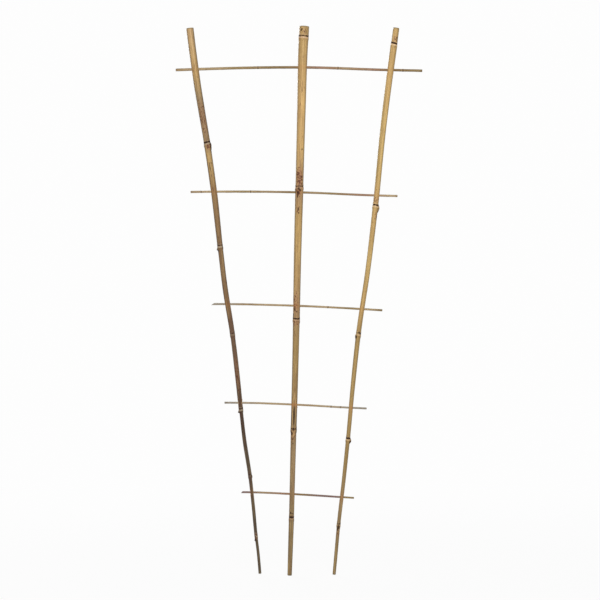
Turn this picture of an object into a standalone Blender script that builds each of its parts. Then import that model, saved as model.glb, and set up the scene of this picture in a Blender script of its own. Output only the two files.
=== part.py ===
"""Bamboo trellis for a climbing plant: three splayed canes, drilled across for five thin rungs.

Metres. +Z is up, X runs across the trellis and +Y away from its front. The canes stand butt end up, so
each is thickest at its top, and its buds and branch stubs lie just under the node scars.
"""

import math
from dataclasses import dataclass

import bmesh
import bpy
import numpy as np
from mathutils import Matrix, Vector

# The trellis as a whole. X is measured from the middle of the top rung.
HEIGHT = 0.9000  # of the middle cane's cut top
TOP_SPREAD = 0.3384  # between the outer canes at their tops
FOOT_SPREAD = 0.1215  # between their feet
TOP_MIDLINE = -0.0098  # place across of the middle of the top spread
FOOT_MIDLINE = -0.00325
MIDDLE_TOP = 0.0086  # place across of the middle cane's top
MIDDLE_FOOT = -0.0154

# How much lower the outer canes' tops are, and how far each foot is off the ground
LEFT_TOP_DROP = 0.0030
RIGHT_TOP_DROP = 0.0025
LEFT_FOOT_LIFT = 0.0030
MIDDLE_FOOT_LIFT = 0.0001
RIGHT_FOOT_LIFT = 0.0015

# Rungs
TOP_RUNG_DROP = 0.0672  # from the middle cane's top to the top rung
BOTTOM_RUNG_HEIGHT = 0.1334
RUNG_GAP_GROWTH = 1.12  # each gap between rungs over the gap under it
RUNG_CLEARANCE = 0.0003
RUNG_CHAMFER = 0.0003
KNOT_RISE = 0.00025
KNOT_HALF_LENGTH = 0.0020

# Node shape, shared by the canes
SCAR_DEPTH = 0.00025
SCAR_HALF_WIDTH = 0.0006
RIDGE_DROP = 0.0040
RIDGE_SPAN = 0.0090
FLARE_SPAN = 0.0060
FLARE_SHARE = 0.5
DIAPHRAGM = 0.0026
LEAST_END = 0.0150  # a node nearer to the foot than this is cut off with the rest of the cane
END_CHAMFER = 0.0003

# The drying split in the middle cane's front, under the fourth rung
SPLIT_DROP = 0.0040  # from the rung's axis to the split's upper end
SPLIT_LENGTH = 0.0280
SPLIT_HALF_WIDTH = 0.0009
SPLIT_DEPTH = 0.0011
SPLIT_RUNG = 4

# Fineness of the faceted solids
RING_SPACING = 0.060
RUNG_RING_SPACING = 0.020
MIDDLE_SIDES = 16
OUTER_SIDES = 14
RUNG_SIDES = 10
HOLE_SIDES = 14
BORE_SIDES = 10
STUB_SIDES = 10
BUD_SEGMENTS = 12
BUD_RINGS = 8
CUTTER_MARGIN = 0.003
MERGE_DISTANCE = 1e-6
SLOPE_STEP = 0.002
SMOOTH_ANGLE = 35

GOLDEN_CANE = (0.52, 0.36, 0.17, 1.0)
DARK_CANE = (0.25, 0.16, 0.085, 1.0)
RUNG_COLOR = (0.30, 0.23, 0.15, 1.0)
BAMBOO_ROUGHNESS = 0.55


@dataclass(frozen=True)
class Bud:
    """A bud that lies along the cane under a node scar."""

    side: float  # degrees round the cane: 0 faces the front, 90 the right
    drop: float  # from the scar down to its middle
    half_length: float
    half_width: float
    proud: float  # how far it stands out of the cane


@dataclass(frozen=True)
class Stub:
    """The base of a branch that was cut off: a slanted peg that points at the foot, with a flat end."""

    side: float
    drop: float  # from the scar down to the middle of its flat end
    radius: float
    proud: float
    lean: float  # degrees from the cane's own line


@dataclass(frozen=True)
class Section:
    """A cut top or a node, and the internode under it."""

    drop: float  # from the cane's top down to the node's scar
    upper: float  # outside diameter at the internode's upper end
    lower: float  # outside diameter at its lower end
    bore: float  # diameter of its hollow
    swell: float = 0.0  # how much thicker its middle is than an even taper
    shift: float = 0.0  # how far the scar stands to the right of the line from top to foot
    back: float = 0.0  # how far it stands behind that line
    bow: float = 0.0  # how far the internode's middle stands to the right of its ends
    ridge: float = 0.0  # how far the ridge under the scar stands out
    growths: tuple[Bud | Stub, ...] = ()


@dataclass(frozen=True)
class Rung:
    """A thin stick through all three canes."""

    left_overhang: float  # from the left cane's middle to the rung's end
    right_overhang: float
    left_rise: float  # how much higher it is at the left cane than at the middle one
    right_rise: float
    left_fall: float  # how much lower its end is than where it crosses the left cane
    right_fall: float
    left_diameter: float
    right_diameter: float
    wander: float = 0.0  # how much higher it is than the even pattern
    knots: tuple[float, ...] = ()  # distances from its left end to its own small nodes
    left_slant: float = 0.0  # degrees by which its left end is cut off square


LEFT_SECTIONS = (
    Section(drop=0.0, upper=0.0122, lower=0.0105, bore=0.0044, swell=0.0003, bow=-0.00145),
    Section(
        drop=0.1870, upper=0.0108, lower=0.0089, bore=0.0040, swell=0.0004,
        shift=0.0040, back=0.0010, bow=0.0013, ridge=0.0006,
        growths=(Bud(side=78, drop=0.0075, half_length=0.0080, half_width=0.0022, proud=0.0011),),
    ),
    Section(
        drop=0.3560, upper=0.0086, lower=0.0082, bore=0.0034, swell=0.0004,
        shift=0.0037, back=-0.0006, bow=-0.0014, ridge=0.0005,
        growths=(Stub(side=-76, drop=0.0080, radius=0.0024, proud=0.0021, lean=24),),
    ),
    Section(
        drop=0.5000, upper=0.0075, lower=0.0072, bore=0.0030, swell=0.0006,
        shift=0.0053, back=0.0009, bow=0.0005, ridge=0.0004,
        growths=(Bud(side=62, drop=0.0080, half_length=0.0034, half_width=0.0014, proud=0.0006),),
    ),
    Section(
        drop=0.6235, upper=0.0059, lower=0.0062, bore=0.0022, swell=0.0004,
        shift=0.0034, back=-0.0004, bow=-0.0011, ridge=0.0004,
        growths=(Stub(side=-74, drop=0.0066, radius=0.0020, proud=0.0024, lean=26),),
    ),
    Section(
        drop=0.7315, upper=0.0059, lower=0.0054, bore=0.0019,
        shift=0.0042, back=0.0007, bow=0.0004, ridge=0.0003,
        growths=(Bud(side=80, drop=0.0036, half_length=0.0040, half_width=0.0013, proud=0.0006),),
    ),
    Section(
        drop=0.8300, upper=0.0048, lower=0.0047, bore=0.0016,
        shift=0.0016, bow=0.0005, ridge=0.0003,
        growths=(Stub(side=-72, drop=0.0102, radius=0.0014, proud=0.0013, lean=14),),
    ),
)

MIDDLE_SECTIONS = (
    Section(drop=0.0, upper=0.0161, lower=0.0164, bore=0.0064),
    Section(
        drop=0.0165, upper=0.0162, lower=0.0129, bore=0.0060, swell=-0.0003,
        shift=-0.0006, bow=-0.0003, ridge=0.0003,
    ),
    Section(
        drop=0.2625, upper=0.0135, lower=0.0114, bore=0.0052, swell=-0.0002,
        shift=-0.0010, back=-0.0008, bow=-0.0004, ridge=0.0007,
        growths=(Bud(side=-22, drop=0.0085, half_length=0.0095, half_width=0.0034, proud=0.0010),),
    ),
    Section(
        drop=0.4790, upper=0.0112, lower=0.0097, bore=0.0044,
        shift=-0.0002, back=0.0006, bow=0.0002, ridge=0.0006,
    ),
    Section(
        drop=0.6590, upper=0.0093, lower=0.0083, bore=0.0036,
        shift=0.0002, back=-0.0004, ridge=0.0006,
        growths=(Bud(side=-52, drop=0.0050, half_length=0.0060, half_width=0.0024, proud=0.0006),),
    ),
    Section(
        drop=0.8045, upper=0.0087, lower=0.0073, bore=0.0030,
        shift=0.0005, back=0.0004, ridge=0.0004,
    ),
)

RIGHT_SECTIONS = (
    Section(drop=0.0, upper=0.0102, lower=0.0106, bore=0.0042),
    Section(
        drop=0.0255, upper=0.0115, lower=0.0091, bore=0.0042, swell=-0.0003,
        shift=-0.0006, back=0.0004, bow=-0.0019, ridge=0.0003,
        growths=(Bud(side=18, drop=0.0060, half_length=0.0042, half_width=0.0018, proud=0.0004),),
    ),
    Section(
        drop=0.2905, upper=0.0095, lower=0.0081, bore=0.0036, swell=-0.0004,
        shift=-0.0009, back=-0.0011, bow=0.0015, ridge=0.0006,
        growths=(Bud(side=74, drop=0.0056, half_length=0.0072, half_width=0.0027, proud=0.0018),),
    ),
    Section(
        drop=0.5005, upper=0.0082, lower=0.0067, bore=0.0032,
        shift=-0.0049, back=0.0008, bow=-0.0007, ridge=0.0005,
        growths=(Bud(side=-58, drop=0.0062, half_length=0.0064, half_width=0.0024, proud=0.0012),),
    ),
    Section(
        drop=0.6725, upper=0.0069, lower=0.0060, bore=0.0026,
        shift=-0.0025, back=-0.0004, bow=0.0004, ridge=0.0006,
        growths=(Bud(side=68, drop=0.0040, half_length=0.0050, half_width=0.0021, proud=0.0018),),
    ),
    Section(
        drop=0.8125, upper=0.0057, lower=0.0052, bore=0.0020, swell=0.0002,
        shift=-0.0019, back=0.0006, ridge=0.0006,
        growths=(Bud(side=-8, drop=0.0055, half_length=0.0034, half_width=0.0014, proud=0.0005),),
    ),
)

# Rungs, from the top one down
RUNGS = (
    Rung(
        left_overhang=0.0318, right_overhang=0.0520, left_rise=-0.0030, right_rise=-0.0043,
        left_fall=0.0011, right_fall=0.0011, left_diameter=0.0047, right_diameter=0.0042,
        knots=(0.1347, 0.2658, 0.3724),
    ),
    Rung(
        left_overhang=0.0384, right_overhang=0.0342, left_rise=0.0012, right_rise=-0.0051,
        left_fall=0.0005, right_fall=0.0009, left_diameter=0.0038, right_diameter=0.0038,
        wander=0.0007, knots=(0.0175, 0.0986),
    ),
    Rung(
        left_overhang=0.0271, right_overhang=0.0334, left_rise=0.0027, right_rise=-0.0054,
        left_fall=-0.0001, right_fall=0.0020, left_diameter=0.0035, right_diameter=0.0035,
        wander=-0.0016, knots=(0.1917,), left_slant=55,
    ),
    Rung(
        left_overhang=0.0257, right_overhang=0.0258, left_rise=0.0030, right_rise=-0.0051,
        left_fall=-0.0001, right_fall=0.0012, left_diameter=0.0035, right_diameter=0.0032,
        wander=0.0003, knots=(0.1746, 0.1903),
    ),
    Rung(
        left_overhang=0.0180, right_overhang=0.0200, left_rise=0.0028, right_rise=-0.0051,
        left_fall=-0.0003, right_fall=0.0013, left_diameter=0.0033, right_diameter=0.0033,
        left_slant=42,
    ),
)


def smooth_through(knots, values, at):
    """Smooth curve through values at rising knots, made of cubic pieces.

    The slope at a knot is the mean of the two chords beside it, each weighted by the other's length, and
    the end pieces bend evenly right to their ends.
    """
    knots = np.asarray(knots, float)
    values = np.asarray(values, float)
    spans = np.diff(knots)
    chords = np.diff(values) / spans
    inner = (chords[:-1] * spans[1:] + chords[1:] * spans[:-1]) / (spans[:-1] + spans[1:])
    slopes = np.concatenate([2 * chords[:1] - inner[:1], inner, 2 * chords[-1:] - inner[-1:]])
    piece = np.clip(np.searchsorted(knots, at, side="right") - 1, 0, len(spans) - 1)
    span = spans[piece]
    u = (np.asarray(at, float) - knots[piece]) / span
    start, end = values[piece], values[piece + 1]
    rise = (3 - 2 * u) * u * u
    bend_in = u * (1 - u) ** 2 * span * slopes[piece]
    bend_out = -u * u * (1 - u) * span * slopes[piece + 1]
    return start + (end - start) * rise + bend_in + bend_out


def ease(share):
    """Rises smoothly from 0 to 1 as share goes from 0 to 1."""
    share = np.clip(share, 0.0, 1.0)
    return (3 - 2 * share) * share * share


class Cane:
    """The shape of one cane: its centre line and its outside radius at any height."""

    def __init__(self, name, top, foot, sections, sides, color):
        """Takes the places (across, up) of the cane's top and foot, and its sections from the top down."""
        self.name = name
        self.sides = sides
        self.color = color
        top_x, top_z = top
        foot_x, foot_z = foot
        self.sections = [section for section in sections if top_z - section.drop > foot_z + LEAST_END]
        self.levels = [top_z - section.drop for section in self.sections] + [foot_z]
        lean = (top_x - foot_x) / (top_z - foot_z)
        shifts = [section.shift for section in self.sections] + [0.0]
        backs = [section.back for section in self.sections] + [0.0]
        across = [foot_x + lean * (z - foot_z) + shift for z, shift in zip(self.levels, shifts)]
        stops = []
        for number, section in enumerate(self.sections):
            here = np.array([across[number], backs[number], self.levels[number]])
            below = np.array([across[number + 1], backs[number + 1], self.levels[number + 1]])
            stops += [here, (here + below) / 2 + np.array([section.bow, 0.0, 0.0])]
        stops.append(below)
        self.stops = np.array(stops)[::-1]

    def centre(self, z):
        """Points of the centre line at heights z."""
        z = np.asarray(z, float)
        x = smooth_through(self.stops[:, 2], self.stops[:, 0], z)
        y = smooth_through(self.stops[:, 2], self.stops[:, 1], z)
        return np.stack([x, y, z], axis=-1)

    def downward(self, z):
        """The centre line's direction at height z, towards the foot."""
        return Vector(self.centre(z - SLOPE_STEP) - self.centre(z + SLOPE_STEP)).normalized()

    def radius(self, z):
        """Outside radius: a taper along each internode, and a scar with a ridge under it at each node."""
        z = np.asarray(z, float)
        relief = np.zeros(z.shape)
        above = None
        for section, level, level_below in zip(self.sections, self.levels, self.levels[1:]):
            below_scar = level - z
            share = np.clip(below_scar / (level - level_below), 0.0, 1.0)
            tapered = section.upper + (section.lower - section.upper) * share
            tapered += 4 * section.swell * share * (1 - share)
            if above is None:
                diameter = tapered
            else:
                blend = ease(below_scar / RIDGE_SPAN)
                diameter = np.where(below_scar > 0, above.lower + (tapered - above.lower) * blend, diameter)
                crest = ease(1 - np.abs(below_scar - RIDGE_DROP) / (RIDGE_SPAN - RIDGE_DROP))
                flare = FLARE_SHARE * ease(1 - np.abs(below_scar) / FLARE_SPAN)
                relief += section.ridge * np.maximum(crest, flare)
                relief -= SCAR_DEPTH * np.clip(1 - np.abs(below_scar) / SCAR_HALF_WIDTH, 0.0, 1.0)
            above = section
        return diameter / 2 + relief

    def rings(self):
        """Heights of the solid's rings, from the top down: close at the nodes and wide between them."""
        top, foot = self.levels[0], self.levels[-1]
        heights = {top, top - END_CHAMFER, foot + END_CHAMFER, foot}
        for node in self.levels[1:-1]:
            for offset in (FLARE_SPAN, SCAR_HALF_WIDTH, 0, -SCAR_HALF_WIDTH, -RIDGE_DROP, -RIDGE_SPAN):
                heights.add(node + offset)
        for upper, lower in zip(self.levels[:-1], self.levels[1:]):
            start, end = upper - RIDGE_SPAN, lower + FLARE_SPAN
            count = math.ceil((start - end) / RING_SPACING)
            for step in range(1, count):
                heights.add(start + (end - start) * step / count)
        return np.array(sorted((z for z in heights if foot <= z <= top), reverse=True))

    def side_at(self, z, degrees):
        """Unit vector square to the cane at height z: 0 degrees faces the front and 90 the right."""
        down = self.downward(z)
        front = (Vector((0, -1, 0)) - down * down.dot(Vector((0, -1, 0)))).normalized()
        right = front.cross(down)
        turn = math.radians(degrees)
        return front * math.cos(turn) + right * math.sin(turn)


LEFT_CANE = Cane(
    "left_cane",
    top=(TOP_MIDLINE - TOP_SPREAD / 2, HEIGHT - LEFT_TOP_DROP),
    foot=(FOOT_MIDLINE - FOOT_SPREAD / 2, LEFT_FOOT_LIFT),
    sections=LEFT_SECTIONS, sides=OUTER_SIDES, color=DARK_CANE,
)
MIDDLE_CANE = Cane(
    "middle_cane",
    top=(MIDDLE_TOP, HEIGHT),
    foot=(MIDDLE_FOOT, MIDDLE_FOOT_LIFT),
    sections=MIDDLE_SECTIONS, sides=MIDDLE_SIDES, color=GOLDEN_CANE,
)
RIGHT_CANE = Cane(
    "right_cane",
    top=(TOP_MIDLINE + TOP_SPREAD / 2, HEIGHT - RIGHT_TOP_DROP),
    foot=(FOOT_MIDLINE + FOOT_SPREAD / 2, RIGHT_FOOT_LIFT),
    sections=RIGHT_SECTIONS, sides=OUTER_SIDES, color=GOLDEN_CANE,
)
CANES = (LEFT_CANE, MIDDLE_CANE, RIGHT_CANE)


class RungPath:
    """The route of one rung: through the three canes' middles, and a little way past the outer ones."""

    def __init__(self, rung, height):
        self.rung = rung
        heights = (height + rung.left_rise, height, height + rung.right_rise)
        self.crossings = [cane.centre(level) for cane, level in zip(CANES, heights)]
        left_end = self.crossings[0] - np.array([rung.left_overhang, 0.0, rung.left_fall])
        right_end = self.crossings[2] + np.array([rung.right_overhang, 0.0, -rung.right_fall])
        self.stops = np.array([left_end, *self.crossings, right_end])

    def point(self, x):
        """Points of the rung's axis at places x across the trellis."""
        x = np.asarray(x, float)
        y = smooth_through(self.stops[:, 0], self.stops[:, 1], x)
        z = smooth_through(self.stops[:, 0], self.stops[:, 2], x)
        return np.stack([x, y, z], axis=-1)

    def direction(self, x):
        return Vector(self.point(x + SLOPE_STEP) - self.point(x - SLOPE_STEP)).normalized()

    def radius(self, x):
        """An even taper from end to end, thicker at the knots."""
        x = np.asarray(x, float)
        left, right = self.stops[0, 0], self.stops[-1, 0]
        taper = self.rung.right_diameter - self.rung.left_diameter
        diameter = self.rung.left_diameter + taper * (x - left) / (right - left)
        rise = np.zeros(x.shape)
        for knot in self.rung.knots:
            rise += KNOT_RISE * ease(1 - np.abs(x - left - knot) / KNOT_HALF_LENGTH)
        return diameter / 2 + rise

    def rings(self):
        """Places of the solid's rings from left to right, with one at each cane's middle."""
        left, right = self.stops[0, 0], self.stops[-1, 0]
        places = {left, left + RUNG_CHAMFER, right - RUNG_CHAMFER, right}
        for start, end in zip(self.stops[:-1, 0], self.stops[1:, 0]):
            count = math.ceil((end - start) / RUNG_RING_SPACING)
            places.update(start + (end - start) * step / count for step in range(1, count))
        places.update(self.stops[1:-1, 0])
        for knot in self.rung.knots:
            places.update(left + knot + step for step in (-KNOT_HALF_LENGTH, 0.0, KNOT_HALF_LENGTH))
        return np.array(sorted(place for place in places if left <= place <= right))


def rung_paths():
    """The rungs' routes from the top down, spaced so that each gap is wider than the gap under it."""
    gaps = RUNG_GAP_GROWTH ** np.arange(len(RUNGS) - 1)
    climbs = np.concatenate([[0.0], np.cumsum(gaps)]) / gaps.sum()
    heights = BOTTOM_RUNG_HEIGHT + (HEIGHT - TOP_RUNG_DROP - BOTTOM_RUNG_HEIGHT) * climbs[::-1]
    return [RungPath(rung, height + rung.wander) for rung, height in zip(RUNGS, heights)]


def remove_everything():
    for old in list(bpy.data.objects):
        bpy.data.objects.remove(old)


def new_collection(name):
    collection = bpy.data.collections.new(name)
    bpy.context.scene.collection.children.link(collection)
    return collection


def bamboo_material(name, color):
    material = bpy.data.materials.new(name)
    material.use_nodes = True
    shader = material.node_tree.nodes["Principled BSDF"]
    shader.inputs["Base Color"].default_value = color
    shader.inputs["Roughness"].default_value = BAMBOO_ROUGHNESS
    shader.inputs["Metallic"].default_value = 0.0
    return material


def tube(name, points, radii, sides, collection):
    """A closed round tube along points, as a mesh whose origin is the first point."""
    curve = bpy.data.curves.new(name, "CURVE")
    curve.dimensions = "3D"
    curve.bevel_depth = float(radii[0])
    curve.bevel_resolution = sides // 2 - 2
    curve.use_fill_caps = True
    spline = curve.splines.new("POLY")
    spline.points.add(len(points) - 1)
    origin = points[0]
    for control, point, radius in zip(spline.points, points, radii):
        control.co = (*(point - origin), 1.0)
        control.radius = radius / radii[0]
    guide = bpy.data.objects.new(name + "_curve", curve)
    guide.location = origin
    collection.objects.link(guide)
    bpy.context.view_layer.update()

    mesh = bpy.data.meshes.new_from_object(guide.evaluated_get(bpy.context.evaluated_depsgraph_get()))
    mesh.name = name
    shell = bmesh.new()
    shell.from_mesh(mesh)
    bmesh.ops.remove_doubles(shell, verts=shell.verts, dist=MERGE_DISTANCE)
    bmesh.ops.recalc_face_normals(shell, faces=shell.faces)
    shell.to_mesh(mesh)
    shell.free()
    solid = bpy.data.objects.new(name, mesh)
    solid.matrix_world = guide.matrix_world
    collection.objects.link(solid)
    bpy.data.objects.remove(guide)
    bpy.data.curves.remove(curve)
    return solid


def ellipsoid(name, centre, axes, half_sizes, collection):
    """A rounded solid with the three given half sizes along the three given unit axes."""
    mesh = bpy.data.meshes.new(name)
    shape = bmesh.new()
    bmesh.ops.create_uvsphere(shape, u_segments=BUD_SEGMENTS, v_segments=BUD_RINGS, radius=1.0)
    turn = Matrix(axes).transposed().to_4x4()
    stretch = Matrix.Diagonal((*half_sizes, 1.0))
    bmesh.ops.transform(shape, matrix=turn @ stretch, verts=shape.verts)
    bmesh.ops.recalc_face_normals(shape, faces=shape.faces)
    shape.to_mesh(mesh)
    shape.free()
    solid = bpy.data.objects.new(name, mesh)
    solid.location = centre
    collection.objects.link(solid)
    return solid


def apply_tool(target, tool, operation):
    """Adds or cuts away a tool, which is kept out of the model itself."""
    tool.hide_render = True
    tool.display_type = "WIRE"
    modifier = target.modifiers.new(f"{operation.lower()} {tool.name}", "BOOLEAN")
    modifier.operation = operation
    modifier.solver = "EXACT"
    modifier.object = tool


def round_shading(solid):
    solid.data.shade_smooth()
    solid.data.set_sharp_from_angle(angle=math.radians(SMOOTH_ANGLE))


def make_bud(name, cane, scar, bud, cutters):
    """A long oval that lies on the cane, half sunk in it."""
    height = scar - bud.drop
    down = cane.downward(height)
    outward = cane.side_at(height, bud.side)
    half_depth = 2 * bud.half_width
    reach = float(cane.radius(height)) + bud.proud - half_depth
    centre = Vector(cane.centre(height)) + outward * reach
    axes = (outward, down.cross(outward), down)
    return ellipsoid(name, centre, axes, (half_depth, bud.half_width, bud.half_length), cutters)


def make_stub(name, cane, scar, stub, cutters):
    """A slanted peg, from halfway inside the cane's wall and hollow to the flat end of the cut branch."""
    height = scar - stub.drop
    lean = math.radians(stub.lean)
    outward = cane.side_at(height, stub.side)
    along = cane.downward(height) * math.cos(lean) + outward * math.sin(lean)
    reach = float(cane.radius(height)) + stub.proud - stub.radius * math.cos(lean)
    end = Vector(cane.centre(height)) + outward * reach
    root = end - along * (reach / 2) / math.sin(lean)
    return tube(name, np.array([root, end]), [stub.radius, stub.radius], STUB_SIDES, cutters)


def hollow_spans(cane, heights):
    """The hollows of a cane that something opens: a cut end, or a rung's hole at one of the heights.

    An internode that nothing opens stays solid here, because its hollow has no way out.
    """
    spans = []
    last = len(cane.sections) - 1
    for number, (section, level, level_below) in enumerate(zip(cane.sections, cane.levels, cane.levels[1:])):
        top = level + CUTTER_MARGIN if number == 0 else level - DIAPHRAGM / 2
        bottom = level_below - CUTTER_MARGIN if number == last else level_below + DIAPHRAGM / 2
        drilled = any(bottom < height < top for height in heights)
        if number in (0, last) or drilled:
            spans.append((number, top, bottom, section.bore / 2))
    return spans


def hollow_out(cane, solid, heights, cutters):
    """Cuts each open hollow, with its closed ends drawn in towards the diaphragms."""
    for number, top, bottom, radius in hollow_spans(cane, heights):
        taper = min(radius, (top - bottom) / 4)
        levels = np.linspace(top - taper, bottom + taper, 2 + math.ceil((top - bottom) / RING_SPACING))
        levels = np.concatenate([[top], levels, [bottom]])
        radii = np.full(len(levels), radius)
        radii[0] = radius if number == 0 else radius / 2
        radii[-1] = radius if number == len(cane.sections) - 1 else radius / 2
        tool = tube(f"{cane.name}_bore_{number}", cane.centre(levels), radii, BORE_SIDES, cutters)
        apply_tool(solid, tool, "DIFFERENCE")


def drill(cane, solid, number, path, cutters):
    """Drills the cane for one rung, along the rung and with a clearance all round it."""
    crossing = path.crossings[CANES.index(cane)]
    along = np.array(path.direction(crossing[0]))
    reach = float(cane.radius(crossing[2])) + CUTTER_MARGIN
    ends = np.array([crossing - along * reach, crossing + along * reach])
    radius = float(path.radius(crossing[0])) + RUNG_CLEARANCE
    tool = tube(f"{cane.name}_hole_{number}", ends, [radius, radius], HOLE_SIDES, cutters)
    apply_tool(solid, tool, "DIFFERENCE")


def add_split(cane, solid, path, cutters):
    """Opens the narrow drying split down the cane's front, from just under a rung."""
    height = path.crossings[CANES.index(cane)][2] - SPLIT_DROP - SPLIT_LENGTH / 2
    down = cane.downward(height)
    outward = cane.side_at(height, 0)
    half_depth = 2 * SPLIT_DEPTH
    reach = float(cane.radius(height)) - SPLIT_DEPTH + half_depth
    centre = Vector(cane.centre(height)) + outward * reach
    axes = (outward, down.cross(outward), down)
    half_sizes = (half_depth, SPLIT_HALF_WIDTH, SPLIT_LENGTH / 2)
    apply_tool(solid, ellipsoid(f"{cane.name}_split", centre, axes, half_sizes, cutters), "DIFFERENCE")


def make_cane(cane, paths, parts, cutters):
    """One cane: its outside, its buds and stubs, its hollows and its drilled holes."""
    levels = cane.rings()
    radii = cane.radius(levels)
    radii[0] -= END_CHAMFER
    radii[-1] -= END_CHAMFER
    solid = tube(cane.name, cane.centre(levels), radii, cane.sides, parts)
    solid.data.materials.append(bamboo_material(cane.name, cane.color))
    round_shading(solid)
    nodes = zip(cane.sections, cane.levels)
    growths = [(scar, growth) for section, scar in nodes for growth in section.growths]
    for number, (scar, growth) in enumerate(growths, start=1):
        make = make_bud if isinstance(growth, Bud) else make_stub
        apply_tool(solid, make(f"{cane.name}_growth_{number}", cane, scar, growth, cutters), "UNION")
    heights = [path.crossings[CANES.index(cane)][2] for path in paths]
    hollow_out(cane, solid, heights, cutters)
    for number, path in enumerate(paths, start=1):
        drill(cane, solid, number, path, cutters)
    if cane is MIDDLE_CANE:
        add_split(cane, solid, paths[SPLIT_RUNG - 1], cutters)
    return solid


def slant_left_end(solid, path, cutters):
    """Cuts a rung's left end at a slant that leaves its tip at the bottom."""
    slant = math.radians(path.rung.left_slant)
    radius = float(path.radius(path.stops[0, 0]))
    tip = Vector(path.stops[0]) - Vector((0, 0, radius))
    outward = Vector((-math.cos(slant), 0, math.sin(slant)))
    face_length = 2 * radius / math.cos(slant)
    size = 4 * face_length
    mesh = bpy.data.meshes.new(solid.name + "_slant")
    box = bmesh.new()
    bmesh.ops.create_cube(box, size=size)
    box.to_mesh(mesh)
    box.free()
    tool = bpy.data.objects.new(mesh.name, mesh)
    tool.location = tip + outward * size / 2
    tool.rotation_euler = (0, slant, 0)
    cutters.objects.link(tool)
    apply_tool(solid, tool, "DIFFERENCE")


def make_rung(name, path, parts, cutters):
    """One rung: a thin tapered stick with small knots and slightly chamfered ends."""
    places = path.rings()
    radii = path.radius(places)
    radii[0] -= RUNG_CHAMFER
    radii[-1] -= RUNG_CHAMFER
    solid = tube(name, path.point(places), radii, RUNG_SIDES, parts)
    solid.data.materials.append(bamboo_material(name, RUNG_COLOR))
    round_shading(solid)
    if path.rung.left_slant:
        slant_left_end(solid, path, cutters)
    return solid


def main():
    remove_everything()
    parts = new_collection("bamboo_trellis")
    cutters = new_collection("cutters")
    trellis = bpy.data.objects.new("bamboo_trellis", None)
    parts.objects.link(trellis)
    paths = rung_paths()
    solids = [make_cane(cane, paths, parts, cutters) for cane in CANES]
    for number, path in enumerate(paths, start=1):
        solids.append(make_rung(f"rung_{number}", path, parts, cutters))
    for solid in solids:
        solid.parent = trellis


main()
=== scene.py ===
"""Looks of a bamboo trellis: three splayed canes, drilled across for five thin rungs.

Metres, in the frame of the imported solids: +Z is up, X runs across and the front faces -Y. The canes stand
butt end up, so each is thickest at its top, and its buds and branch stumps lie just under its node scars.
"""

import logging
import math
from dataclasses import dataclass, field
from enum import Enum, IntEnum
from typing import ClassVar

import bmesh
import bpy
import numpy as np
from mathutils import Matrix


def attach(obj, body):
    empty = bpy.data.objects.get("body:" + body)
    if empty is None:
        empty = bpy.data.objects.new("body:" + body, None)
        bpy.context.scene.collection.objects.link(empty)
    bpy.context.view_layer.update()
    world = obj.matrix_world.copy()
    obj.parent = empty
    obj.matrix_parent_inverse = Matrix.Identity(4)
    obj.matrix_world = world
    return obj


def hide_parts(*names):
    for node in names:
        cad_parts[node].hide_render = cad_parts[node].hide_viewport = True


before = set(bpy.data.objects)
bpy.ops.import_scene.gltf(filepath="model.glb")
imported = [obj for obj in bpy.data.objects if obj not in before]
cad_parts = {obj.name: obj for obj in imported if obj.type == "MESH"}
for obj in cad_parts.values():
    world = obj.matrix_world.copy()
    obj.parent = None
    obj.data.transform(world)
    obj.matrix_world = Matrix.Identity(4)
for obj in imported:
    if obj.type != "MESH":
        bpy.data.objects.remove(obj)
log = logging.getLogger("bamboo_trellis")

MILLIMETRE = 0.001
FRONT = np.array([0.0, -1.0, 0.0])
WHITE = (1.0, 1.0, 1.0, 1.0)
WAVE_COUNT = 7
SPACING_SAMPLES = 20000

Array = np.ndarray
Mesh = bpy.types.Mesh
Piece = bpy.types.Object
Socket = bpy.types.NodeSocket
Material = bpy.types.Material
Inputs = dict[str | int, object]
Color = tuple[float, float, float]
Tones = tuple[tuple[float, Color], ...]  # rising places, and the colours there
Rows = tuple[Array, Array]  # places along a stem and distances from its centre line


class GrowthKind(Enum):
    """What grows at a node, or grew there."""

    BUD = "bud"
    STUMP = "stump"


class Slot(IntEnum):
    """Material slots of a cane or a rung."""

    SKIN = 0
    CUT = 1


class Draw(IntEnum):
    """Added to a stem's seed, so that each kind of unevenness has random draws of its own."""

    ROUNDNESS = 0
    FINE = 1
    CAP = 2
    HOLLOW = 3
    SAW = 4
    INK = 5
    BORE = 50
    MOUTH = 60
    SPLINTER = 90
    TEAR_STEP = 7  # from here on, for each further hole, rung or node
    SPLINTER_STEP = 10
    SCAR_STEP = 31


@dataclass(frozen=True)
class Growth:
    """A bud that lies along the cane under a scar, or the stump of a branch that was cut off there."""

    kind: GrowthKind
    side: float  # degrees round the cane: 0 faces the front, 90 the right
    drop: float  # from the scar down to its middle
    width: float  # a bud's half width, or a stump's radius
    proud: float  # how far it stands out of the cane
    length: float = 0.0  # a bud's half length
    lean: float = 0.0  # degrees between a stump and the cane


@dataclass(frozen=True)
class Mark:
    """A dark spot, scar or stain on a cane's skin, or a stroke of painted shade."""

    height: float
    side: float  # degrees round the cane
    half_length: float
    half_width: float
    strength: float = 1.0
    lean: float = 0.0  # degrees by which its top leans to the right


@dataclass(frozen=True)
class Section:
    """A cut top or a node, and the internode under it."""

    drop: float  # from the cane's top down to the scar
    upper: float  # outside diameter at the internode's upper end
    lower: float  # outside diameter at its lower end
    bore: float  # diameter of its hollow
    swell: float  # how much thicker its middle is than an even taper
    shift: float  # how far the scar stands to the right of the line from top to foot
    back: float  # how far it stands behind that line
    bow: float  # how far the internode's middle stands to the right of its ends
    ridge: float  # how far the ridge under the scar stands out
    tilt: float  # how much higher the scar stands at the right than at the cane's middle
    ink: float  # how dark the scar line is; 1 is fully dark
    wax: float  # how pale the band under it is; 1 is palest
    growth: Growth | None = None


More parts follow.
